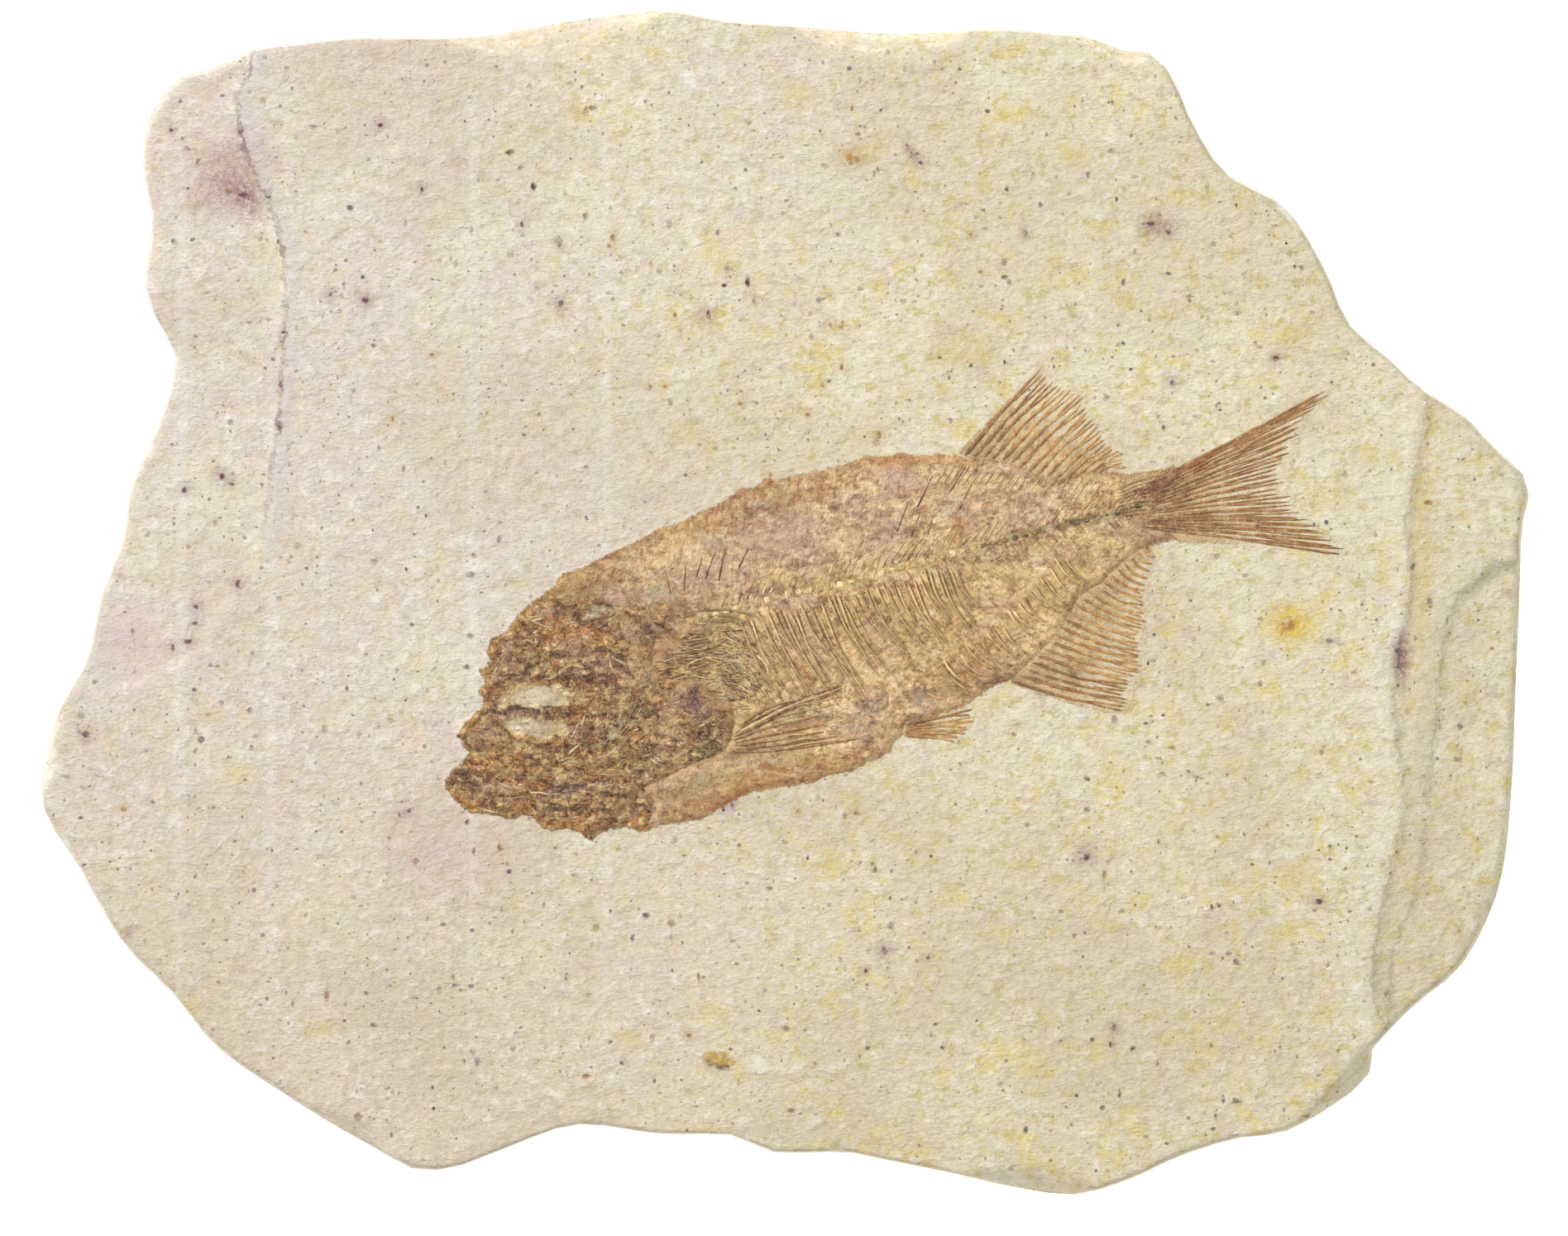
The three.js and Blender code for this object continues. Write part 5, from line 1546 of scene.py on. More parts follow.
class Film:
    """A thin crust lying on the slab: a fine grid cut to the outline of the bones.

    Its top stands above the stone by a thickness that swells in from the outline; just outside
    the outline it lies level with the stone and then dips under it, so the crust ends in
    the stone's own colour.
    """

    MARGIN = 1.0

    def __init__(self, plan: FilmPlan, slab: Slab, silhouette: HeightAt, marks: Sequence[Mark]) -> None:
        """Film on the slab, not built yet.

        Args:
            plan: What the film is made of.
            slab: Slab it lies on.
            silhouette: Distance inside the outline it fades at.
            marks: Marks painted on it, in order.
        """
        self.plan = plan
        self.slab = slab
        self.silhouette = silhouette
        self.marks = marks
        self.outline = curve(plan.outline, 4 * len(plan.outline), closed=True)
        self.piece: Optional[bpy.types.Object] = None

    def height_at(self, x: Array, y: Array) -> Array:
        """Top of the film without the relief of its marks."""
        gap = inside_distance(x, y, self.outline)
        return self._stand(gap, x, y) + self.slab.relief(x, y)

    def _stand(self, gap: Array, x: Array, y: Array) -> Array:
        """How far the film stands above the stone, at a distance inside its outline.

        Args:
            gap: Distance inside the outline, in mm.
            x: Across, in mm.
            y: Up, in mm.

        Returns:
            Height above the stone, in mm.
        """
        wave = 1 + 0.22 * noise(x, y, 3.5, self.plan.seed, 3)
        swell = self.plan.thickness * smooth(-0.1, 1.1, gap) * wave
        for pairs in self.plan.covered_by:
            swell *= smooth(0.7, -0.4, inside_distance(x, y, np.array(pairs)))
        folds = 0.7 - 2.4 * np.abs(noise(x, y, 2.8, self.plan.seed + 9, 4))
        crumpled = 0.16 * self.plan.crumple * folds * smooth(0.0, 0.8, gap)
        dip = 0.09 * smooth(-0.2, -self.MARGIN, gap)
        return 0.03 + swell + crumpled - dip

    def _cells(self) -> tuple[Array, Array, Array, Array]:
        """Grid corners and kept squares."""
        h = self.plan.cell
        low, high = self.outline.min(0) - self.MARGIN, self.outline.max(0) + self.MARGIN
        gx, gy = np.meshgrid(np.arange(low[0], high[0] + h, h), np.arange(low[1], high[1] + h, h))
        gap = inside_distance(gx, gy, self.outline)
        near = gap > -self.MARGIN
        kept = near[:-1, :-1] & near[:-1, 1:] & near[1:, 1:] & near[1:, :-1]
        return gx, gy, gap, kept

    def build(self) -> None:
        """Builds the closed film and paints it."""
        gx, gy, gap, kept = self._cells()
        rows, cols = gx.shape
        number = np.arange(rows * cols).reshape(rows, cols)
        quads = np.stack([number[:-1, :-1], number[:-1, 1:], number[1:, 1:], number[1:, :-1]], axis=-1)
        top = quads[kept]
        padded = np.pad(kept, 1)
        walls = []
        for (di, dj), (a, c) in {(-1, 0): (0, 1), (0, 1): (1, 2), (1, 0): (2, 3), (0, -1): (3, 0)}.items():
            open_side = kept & ~padded[1 + di:1 + di + kept.shape[0], 1 + dj:1 + dj + kept.shape[1]]
            side = quads[open_side]
            walls.append(np.column_stack([side[:, a], side[:, c]]))
        wall = np.vstack(walls)
        used, packed = np.unique(top, return_inverse=True)
        packed = packed.reshape(top.shape)
        index = np.full(rows * cols, -1)
        index[used] = np.arange(len(used))
        wall = index[wall]
        x, y, d = gx.ravel()[used], gy.ravel()[used], gap.ravel()[used]
        count = len(used)
        made = self._paint(x, y, d)
        base = self.slab.relief(x, y)
        z = base + self._stand(d, x, y) + made.height * smooth(-0.2, 0.6, d)
        points = np.vstack([np.column_stack([x, y, z]), np.column_stack([x, y, np.minimum(base, z) - 0.3])])
        faces = np.vstack([packed, packed[:, ::-1] + count,
                           np.column_stack([wall[:, 1], wall[:, 0], wall[:, 0] + count,
                                            wall[:, 1] + count])])
        self.piece = add_mesh(self.plan.name, points, faces)
        self._store(np.tile(x, 2), np.tile(y, 2), made)

    def _paint(self, x: Array, y: Array, d: Array) -> Painted:
        """Ground, mineral patches, rim and marks, in that order.

        Args:
            x: Across, in mm.
            y: Up, in mm.
            d: Distance inside the outline, in mm.

        Returns:
            What is painted on every vertex.
        """
        plan = self.plan
        torn = noise(x, y, 2.2, plan.seed + 8, 3)
        rear = smooth(-20, -3, x + 5 * torn + 2.5 * np.clip(y + 1, 0, 8))[:, None]
        ground = plan.ground.rgb * (1 - rear) + plan.rear_ground.rgb * rear
        wide = noise(x, y, 6.5, plan.seed + 1, 3)[:, None]
        mid = noise(x, y, 2.6, plan.seed + 2, 3)[:, None]
        ground = ground * (1 + 0.14 * wide) * (1 + 0.14 * mid)
        step = np.zeros(x.shape)
        for k, flake in enumerate(plan.flakes):
            flake.lay(x, y, ground, step, plan.seed + 20 + k)
        edge = self.silhouette(x, y)
        ragged = noise(x, y, 1.4, plan.seed + 3, 3)
        rim = smooth(plan.rim_width * (1 + 0.6 * ragged.max()), 0.1, edge + 0.5 * ragged)
        rim *= 0.55 + 0.45 * noise(x, y, 3.2, plan.seed + 4, 2)
        ground += (plan.rim.rgb - ground) * np.clip(rim, 0, 1)[:, None]
        made = paint(x, y, ground, self.marks, plan.seed + 5)
        made.height += step
        inner = smooth(2.2, 0.2, d + 1.6 * torn) * smooth(0.8, 2.2, edge) * smooth(-25, -16, x) * 0.85
        beyond = Tint.NECK.rgb + (Tint.BODY.rgb - Tint.NECK.rgb) * smooth(-3, 1, y)[:, None]
        made.colour += (beyond - made.colour) * inner[:, None]
        made.crumple = plan.crumple * (1 - 0.45 * made.cover) * (1 - 0.6 * inner)
        made.cover = self.cover(x, y)
        return made

    def cover(self, x: Array, y: Array) -> Array:
        """How fully the crust hides the stone."""
        return np.full(x.shape, FULL_COVER)

    def _store(self, x: Array, y: Array, made: Painted) -> None:
        """Writes the paint and the fibre direction on the mesh.

        Args:
            x: Across, in mm.
            y: Up, in mm.
            made: What is painted on every vertex.
        """
        piece = self.piece
        assert piece is not None
        self.slab.stone_marks(piece, x, y)
        set_colour(piece, "paint", np.tile(made.colour, (2, 1)))
        set_number(piece, "cover", np.tile(made.cover, 2))
        set_number(piece, "edge", self.silhouette(x, y))
        set_number(piece, "fibre_weight", np.full(len(x), self.plan.fibre_weight))
        set_number(piece, "crumple", np.tile(made.crumple, 2))
        set_vector(piece, "fibre", fibre_field(x, y))

    def dress(self, finishes: Finishes) -> None:
        """Gives the film its finish and ties it to the part."""
        assert self.piece is not None
        self.piece.data.materials.append(finishes.crust)
        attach(self.piece, "root")
        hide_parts(self.plan.node)


class SkullFilm(Film):
    """Skull crust, open where the eye socket lets the stone show."""

    OPENINGS: tuple[Pairs, ...] = (
        ((-37.2, -13.4), (-36.4, -12), (-35, -11.2), (-33, -10.7), (-31.6, -10.9), (-29.6, -12.1),
         (-28.8, -13.3), (-30, -14.1), (-34, -13.9)),
        ((-37.5, -16.3), (-36, -15.9), (-33, -15.5), (-30.4, -15.7), (-28.4, -15.6), (-29, -16.7),
         (-31.4, -18), (-33.4, -18.3), (-35.8, -17.2)),
    )

    def cover(self, x: Array, y: Array) -> Array:
        """How fully the crust hides the stone, less at the openings.

        Args:
            x: Across, in mm.
            y: Up, in mm.

        Returns:
            Cover of every point.
        """
        full = np.full(x.shape, FULL_COVER)
        for pairs in self.OPENINGS:
            hole = inside_distance(x, y, curve(pairs, 40, closed=True))
            full = np.minimum(full, FULL_COVER - 0.92 * smooth(-0.3, 0.5, hole))
        return full


# ------------------------------------------------------------------ strands


@dataclass
class Strand:
    """One slender bone lying along a path."""

    path: Pairs
    width: tuple[float, float]
    height: float
    tints: tuple[Tint, Tint]


class Strands:
    """Slender bones of one kind, each a low rounded ridge that tapers at its ends."""

    ACROSS = np.array([-0.5, -0.36, 0.0, 0.36, 0.5, 0.0])
    RISE = np.array([-0.12, 0.62, 1.0, 0.62, -0.12, -0.3])

    def __init__(self, name: str, node: str, strands: Sequence[Strand], floor: HeightAt, seed: int,
                 samples: int = 10) -> None:
        """Strips that make one piece, not built yet.

        Args:
            name: Name of the piece.
            node: Node of the frame they belong to.
            strands: Strips to build.
            floor: Level they lie on.
            seed: Seed of their random draws.
            samples: Points along each strip.
        """
        self.name = name
        self.node = node
        self.strands = strands
        self.floor = floor
        self.seed = seed
        self.samples = samples
        self.piece: Optional[bpy.types.Object] = None

    def build(self) -> None:
        """Builds all strands as one mesh of closed tubes."""
        n, ring, many = self.samples, len(self.ACROSS), len(self.strands)
        paths = np.array([curve(s.path, n) for s in self.strands])
        share = np.linspace(0, 1, n)
        along = np.gradient(paths, axis=1)
        along /= np.maximum(np.linalg.norm(along, axis=2, keepdims=True), 1e-9)
        side = np.stack([-along[:, :, 1], along[:, :, 0]], axis=2)
        width = np.array([s.width[0] + (s.width[1] - s.width[0]) * share for s in self.strands])
        own = np.arange(many)[:, None] * 37.0
        uneven = 1 + 0.22 * noise(own + share * 9, own * 0, 1.0, self.seed, 2)
        ends = 0.25 + 0.75 * smooth(0, 0.06, share) * smooth(1.0, 0.86, share)
        width = width * uneven * ends
        tall = np.array([s.height for s in self.strands])[:, None] * (0.35 + 0.65 * ends) * uneven
        spread = paths[:, :, None, :] + side[:, :, None, :] * (width[:, :, None] * self.ACROSS)[..., None]
        floor = self.floor(paths[..., 0].ravel(), paths[..., 1].ravel()).reshape(many, n)
        z = floor[:, :, None] + tall[:, :, None] * self.RISE
        points = np.concatenate([spread, z[..., None]], axis=3)
        number = np.arange(many * n * ring).reshape(many, n, ring)
        nxt = np.roll(number, -1, axis=2)
        skin = np.stack([number[:, :-1], nxt[:, :-1], nxt[:, 1:], number[:, 1:]], axis=-1).reshape(-1, 4)
        first, last = number[:, 0], number[:, -1]
        caps = [first[:, [3, 2, 1, 0]], first[:, [5, 4, 3, 0]], last[:, [0, 1, 2, 3]],
                last[:, [0, 3, 4, 5]]]
        faces = np.vstack([skin[:, ::-1], *[c[:, ::-1] for c in caps]])
        self.piece = add_mesh(self.name, points.reshape(-1, 3), faces)
        self._paint(paths, share, points)

    def _paint(self, paths: Array, share: Array, points: Array) -> None:
        """Writes colour and fibre direction on the mesh."""
        piece = self.piece
        assert piece is not None
        many, n, ring = points.shape[:3]
        start = np.array([s.tints[0].rgb for s in self.strands])[:, None, None, :]
        end = np.array([s.tints[1].rgb for s in self.strands])[:, None, None, :]
        blend = smooth(0.05, 0.9, share)[None, :, None, None]
        colour = np.broadcast_to(start + (end - start) * blend, (many, n, ring, 3)).copy()
        own = np.arange(many)[:, None] * 11.0
        tone = 1 + 0.25 * noise(own + share * 6, own * 0 + 2, 1.0, self.seed + 1,
                                2) + 0.12 * noise(own, own * 0 + 5, 3.0, self.seed + 2)
        colour *= tone[:, :, None, None]
        # painted shade: each strand's flanks and underside darker than its crest
        colour *= (0.82 + 0.18 * np.clip(self.RISE, 0, 1))[None, None, :, None]
        set_colour(piece, "paint", np.clip(colour, 0, 1).reshape(-1, 3))
        run = np.concatenate([np.zeros((many, 1)), np.cumsum(np.linalg.norm(np.diff(paths, axis=1), axis=2),
                                                             axis=1)], axis=1)
        across = np.broadcast_to(self.ACROSS * 0.5, (many, n, ring)) + own[:, :, None]
        fibre = np.stack([across, np.broadcast_to(run[:, :, None], (many, n, ring)),
                          np.zeros((many, n, ring))], axis=3)
        set_vector(piece, "fibre", fibre)

    def dress(self, finishes: Finishes) -> None:
        """Gives the strands their finish and ties them to the part."""
        assert self.piece is not None
        self.piece.data.materials.append(finishes.bone)
        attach(self.piece, "root")
        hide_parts(self.node)


# ------------------------------------------------------------------ bones of the trunk


def lean(x: float, y: float, angle: float, reach: float, bend: float = 0.0) -> Pairs:
    """Three points from a place, along an angle in degrees, bowed sideways by bend."""
    turn = math.radians(angle)
    way, side = (math.cos(turn), math.sin(turn)), (-math.sin(turn), math.cos(turn))
    middle = (x + 0.5 * reach * way[0] + bend * side[0], y + 0.5 * reach * way[1] + bend * side[1])
    return ((x, y), middle, (x + reach * way[0], y + reach * way[1]))


def vertebrae() -> list[Strand]:
    """Vertebrae in a row: low sandy barrels in front, small dark beads behind.

    Returns:
        The strips.
    """
    count = 46
    line = curve(BACKBONE, 4 * count + 1)
    rng = np.random.default_rng(31)
    barrels = []
    for k in range(count):
        a, middle, c = line[4 * k], line[4 * k + 2], line[4 * k + 4]
        share = k / (count - 1)
        behind = share > 0.6
        wide = (0.75 if behind else 1.15) * rng.uniform(0.8, 1.15)
        pool = (Tint.DARK, Tint.MOSS, Tint.BLACK, Tint.BROWN) if behind else (Tint.SAND, Tint.OCHRE,
                                                                              Tint.BODY, Tint.TAN)
        first, last = (pool[int(n)] for n in rng.integers(0, 4, 2))
        start = 0.75 * a + 0.25 * c
        barrels.append(Strand((tuple(start), tuple(middle), tuple(0.1 * a + 0.9 * c)), (wide, 0.8 * wide),
                              0.17, (first, last)))
    return barrels


def spines() -> list[Strand]:
    """Spines above and below the vertebrae, swept back, and the fan at the root of the tail.

    Returns:
        The strips.
    """
    rng = np.random.default_rng(32)
    line = curve(BACKBONE, 60)
    upper = (((-15, 0.5), (-16, 4.5)), ((-11.8, 3.2), (-11, 6)), ((-10.6, 3), (-9.3, 6.8)),
             ((-8.8, 2.8), (-7.8, 8)),
             ((-6.2, 4.5), (-4.7, 7.5)), ((-13.4, 1.4), (-13.2, 5)), ((16.7, 8.5), (18, 12)),
             ((19, 9), (19.8, 12)),
             ((21.5, 14), (24, 18)), ((14.8, 9), (16.4, 13.4)), ((17.6, 12.6), (19.6, 16.8)),
             ((23, 12), (25, 16)))
    bones = [Strand(pair, (0.26, 0.14), 0.14, (Tint.DARK, Tint.BROWN)) for pair in upper]
    for k in range(4, 58):
        x, y = line[k]
        share = k / 59
        reach = (4.2 - 1.4 * share) * rng.uniform(0.5, 1.2)
        tint = (Tint.SAND, Tint.TAN, Tint.BODY, Tint.BROWN)[int(rng.integers(0, 4))]
        bones.append(Strand(lean(x, y + 0.7, 70 - 26 * share + rng.uniform(-7, 7), reach, 0.15),
                            (0.28, 0.14), 0.12, (tint, Tint.TAN)))
        if share > 0.45:
            bones.append(Strand(lean(x, y - 0.6, -54 + 12 * share, reach * 1.2, -0.2), (0.28, 0.14), 0.12,
                                (tint, Tint.SAND)))
    for height in np.linspace(12.2, 15.8, 9):
        bones.append(Strand(lean(44.2, height - 0.9, 10 + 4 * (height - 13), 6.0, 0.2), (0.3, 0.24), 0.16,
                            (Tint.BROWN, Tint.TAN)))
    return bones


def ribs() -> list[Strand]:
    """Ribs slanting back below the backbone, and the supports of the anal and dorsal fins.

    Returns:
        The strips.
    """
    rng = np.random.default_rng(33)
    pool = (Tint.SAND, Tint.BODY, Tint.BODY, Tint.YELLOW, Tint.TAN)
    bones = []
    for x in np.arange(-6.0, 23.0, 0.72):
        y = np.interp(x, *np.array(BACKBONE).T) - rng.uniform(0.8, 2.4)
        reach = np.interp(x, [-6, 4, 23], [14.0, 14.6, 9.0]) * rng.uniform(0.6, 1.08)
        tint = pool[int(rng.integers(0, 5))]
        slope = -60 + rng.uniform(-5, 5)
        bones.append(Strand(lean(x, y, slope, reach, -0.6), (0.34, 0.22), 0.44, (tint, Tint.SAND)))
        # a dark strip beside most ribs: painted shadow between them
        if rng.random() < 0.85:
            bones.append(Strand(lean(x + 0.32, y - 0.1, slope, 0.9 * reach, -0.6), (0.22, 0.15), 0.2,
                                (Tint.BROWN, Tint.TAN)))
    for x in np.arange(20.5, 37.5, 0.7):
        base = np.interp(x + 4, [24, 30.3, 34, 36.3, 42],
                         [-12.5, -9.6, -5.6, -2.6, 3.0]) + rng.uniform(3.6, 5.2)
        tint = pool[int(rng.integers(0, 5))]
        slope, reach = -46 + rng.uniform(-5, 5), rng.uniform(3.6, 6.4)
        bones.append(Strand(lean(x, base, slope, reach, -0.3), (0.4, 0.26), 0.46, (tint, Tint.SAND)))
        # a dark strip beside each support: painted shadow
        bones.append(Strand(lean(x + 0.3, base - 0.1, slope, reach, -0.3), (0.22, 0.15), 0.2,
                            (Tint.BROWN, Tint.TAN)))
    for x in np.arange(20.0, 41.0, 0.9):
        bones.append(Strand(lean(x, np.interp(x, [20, 30, 40], [15.8, 15.0, 14.0]), 54,
                                 rng.uniform(2.4, 4)), (0.3, 0.2), 0.14, (Tint.SAND, Tint.TAN)))
    for path in (((-11, -2), (-8, -1.7), (-5.4, -2.6), (-3, -5), (1, -9), (3, -12.6)),
                 ((-10, -2.6), (-6.6, -2.6), (-3.8, -5), (-0.4, -9)),
                 ((-12, -1.2), (-8.6, -1.0), (-5, -1.4), (-1.4, -3.6), (2.4, -7.6))):
        bones.append(Strand(path, (0.42, 0.26), 0.26, (Tint.MOSS, Tint.SAND)))
    return bones


@dataclass(frozen=True)
class Scatter:
    """Splinters strewn over an area, all leaning roughly one way at each place."""

    area: Pairs
    count: int
    reach: tuple[float, float]
    width: tuple[float, float]
    height: float
    spread: float
    tints: tuple[Tint, ...]
    seed: int

    def strands(self, angle_at: Callable[[Array, Array], Array],
                openings: Sequence[Pairs] = ()) -> list[Strand]:
        """Draws places at random, keeps those inside the area and lays a splinter on each.

        Args:
            angle_at: Angle in degrees at each place.
            openings: Outlines that stay clear.

        Returns:
            The splinters.
        """
        rng = np.random.default_rng(self.seed)
        low, high = np.array(self.area).min(0), np.array(self.area).max(0)
        at = rng.uniform(low, high, (self.count, 2))
        x, y = at.T
        keep = inside_distance(x, y, np.array(self.area)) > 0.35
        keep &= noise(x, y, 3.4, self.seed, 2) > -0.08
        for pairs in openings:
            keep &= inside_distance(x, y, np.array(pairs)) < -1.6
        turn = angle_at(x, y) + rng.normal(0, self.spread, self.count)
        reach = rng.uniform(*self.reach, self.count)
        wide = rng.uniform(*self.width, self.count)
        bend = rng.normal(0, 0.1, self.count) * reach
        picks = rng.integers(0, len(self.tints), (self.count, 2))
        end = np.radians(turn)
        keep &= inside_distance(x + reach * np.cos(end), y + reach * np.sin(end), np.array(self.area)) > 0.2
        return [
            Strand(lean(x[k], y[k], turn[k], reach[k], bend[k]), (wide[k], 0.7 * wide[k]), self.height,
                   (self.tints[picks[k, 0]], self.tints[picks[k, 1]]))
            for k in np.flatnonzero(keep)
        ]


def head_grain(x: Array, y: Array) -> Array:
    """Angle of the splinters of the head: round the eye socket, level along the jaw."""
    ring = np.degrees(np.arctan2(y + 14.6, 0.8 * (x + 32.5))) + 90.0
    ring = (ring + 90.0) % 180.0 - 90.0
    level = 12.0 * noise(x, y, 5.0, 501, 2)
    far = smooth(9.0, 15.0, np.hypot(x + 32.5, y + 14.6))
    return ring * (1 - far) + level * far - 12 * far


def body_grain(x: Array, y: Array) -> Array:
    """Angle of the splinters of the trunk: up and back above the backbone, down and back below."""
    run, up = body_frame(x, y)
    slant = np.where(up > 0, 68.0 - 0.25 * run, -60.0 + 0.1 * run)
    level = smooth(-4, -12, x) * smooth(0.5, -3, y) + smooth(-15, -20, y - 0.18 * (x + 10))
    level = np.clip(level, 0, 1)
    return slant * (1 - level) + 8.0 * level


SCATTERS: dict[str, Scatter] = {
    "skull": Scatter(SKULL, count=480, reach=(0.7, 3.4), width=(0.14, 0.42), height=0.14, spread=26.0,
                     tints=(Tint.SAND, Tint.SAND, Tint.PALE, Tint.DARK, Tint.RED, Tint.ORANGE, Tint.TAN,
                            Tint.LILAC, Tint.OCHRE, Tint.DARK), seed=601),
    "lower_jaw": Scatter(JAW, count=150, reach=(0.7, 3.6), width=(0.14, 0.4), height=0.14, spread=12.0,
                         tints=(Tint.SAND, Tint.PALE, Tint.DARK, Tint.RED, Tint.ORANGE, Tint.TAN,
                                Tint.LILAC, Tint.RED), seed=602),
    "trunk": Scatter(TRUNK, count=800, reach=(0.5, 2.4), width=(0.12, 0.24), height=0.07, spread=15.0,
                     tints=(Tint.PALE, Tint.PALE, Tint.BODY, Tint.TAN, Tint.BROWN, Tint.PINK, Tint.ORANGE,
                            Tint.YELLOW), seed=603),
}
THROAT: Pairs = ((-19, -1.6), (-12, -1.2), (-6, -2.6), (-1, -8), (0.5, -13.5), (-5, -14.5), (-12, -12),
                 (-18, -11))


def pectoral_rays() -> list[Strand]:
    """Rays of the breast fin, folded back from the shoulder.

    Returns:
        The strips.
    """
    tips = ((7.8, -11.8), (7.2, -12.6), (6.4, -13.6), (5.6, -14.8), (4.5, -16.4), (5.2, -17.2), (7, -17.8),
            (9.5, -18.2))
    bones = []
    for k, (x, y) in enumerate(tips):
        root = (-6.6, -17.0 - 0.42 * k)
        knee = (-1.6 + 0.1 * k, root[1] + 0.42 * (y - root[1]) + 1.1 - 0.22 * k)
        bones.append(Strand((root, knee, (x, y)), (0.42, 0.26), 0.24,
                            (Tint.BROWN, Tint.TAN if k < 4 else Tint.RAY)))
        late = (x - 2.2, y - 0.9 + 0.1 * k)
        bones.append(Strand((knee, (0.5 * (knee[0] + late[0]), 0.5 * (knee[1] + late[1]) + 0.3), late),
                            (0.36, 0.2), 0.2, (Tint.TAN, Tint.SAND)))
    bones.append(Strand(((-6.0, -17.2), (0.6, -13.9), (7.6, -11.4)), (0.6, 0.4), 0.36,
                        (Tint.SAND, Tint.TAN)))
    for shift in (-0.5, 0.45):
        bones.append(Strand(((-6.0, -17.2 + shift), (0.6, -13.9 + shift), (7.4, -11.4 + 0.7 * shift)),
                            (0.26, 0.2), 0.26, (Tint.DARK, Tint.BROWN)))
    return bones


# ------------------------------------------------------------------ fins


@dataclass(frozen=True)
class FinPlan:
    """Rays and skin of one fin."""

    name: str
    node: str
    skin: Pairs
    bases: Pairs
    tips: Pairs
    rays: int
    width: tuple[float, float]
    bow: float
    fork: float
    tints: tuple[Tint, Tint]
    cover: tuple[float, float]
    lead: tuple[int, Tint]
    seed: int


def ray_strands(plan: FinPlan) -> list[Strand]:
    """Rays fanned evenly between the line of bases and the line of tips.

    Each ray bows slightly, and past the middle it forks into two finer branches.
    """
    rng = np.random.default_rng(plan.seed)
    bases = curve(plan.bases, plan.rays)
    tips = curve(plan.tips, plan.rays)
    strands = []
    for k, (a, c) in enumerate(zip(bases, tips)):
        first, last = (plan.lead[1], Tint.RAY) if k < plan.lead[0] else plan.tints
        run = c - a
        length = float(np.hypot(*run))
        side = np.array([-run[1], run[0]]) / length
        bow = side * (plan.bow + rng.uniform(-0.12, 0.12))
        end = c - run * rng.uniform(0, 0.05)
        wide, thin = plan.width[0] * rng.uniform(0.85, 1.15), plan.width[1] * rng.uniform(0.8, 1.2)
        if length * plan.fork < 2.0:
            strands.append(Strand((tuple(a), tuple(a + 0.5 * run + bow), tuple(end)), (wide, thin), 0.24,
                                  (first, last)))
            continue
        split = a + (1 - plan.fork) * run + 0.8 * bow
        stem = (tuple(a), tuple(a + 0.4 * run + 0.9 * bow), tuple(split + 0.1 * run))
        strands.append(Strand(stem, (wide, 0.75 * wide), 0.25, (first, last)))
        gap = side * (0.28 + 0.1 * rng.random())
        for way in (-gap, gap):
            stop = end + way - run / length * rng.uniform(0, 0.6)
            knee = split + 0.45 * (end - split) + 0.55 * way
            strands.append(Strand((tuple(split), tuple(knee), tuple(stop)), (0.62 * wide, thin), 0.2,
                                  (last, last)))
    return strands


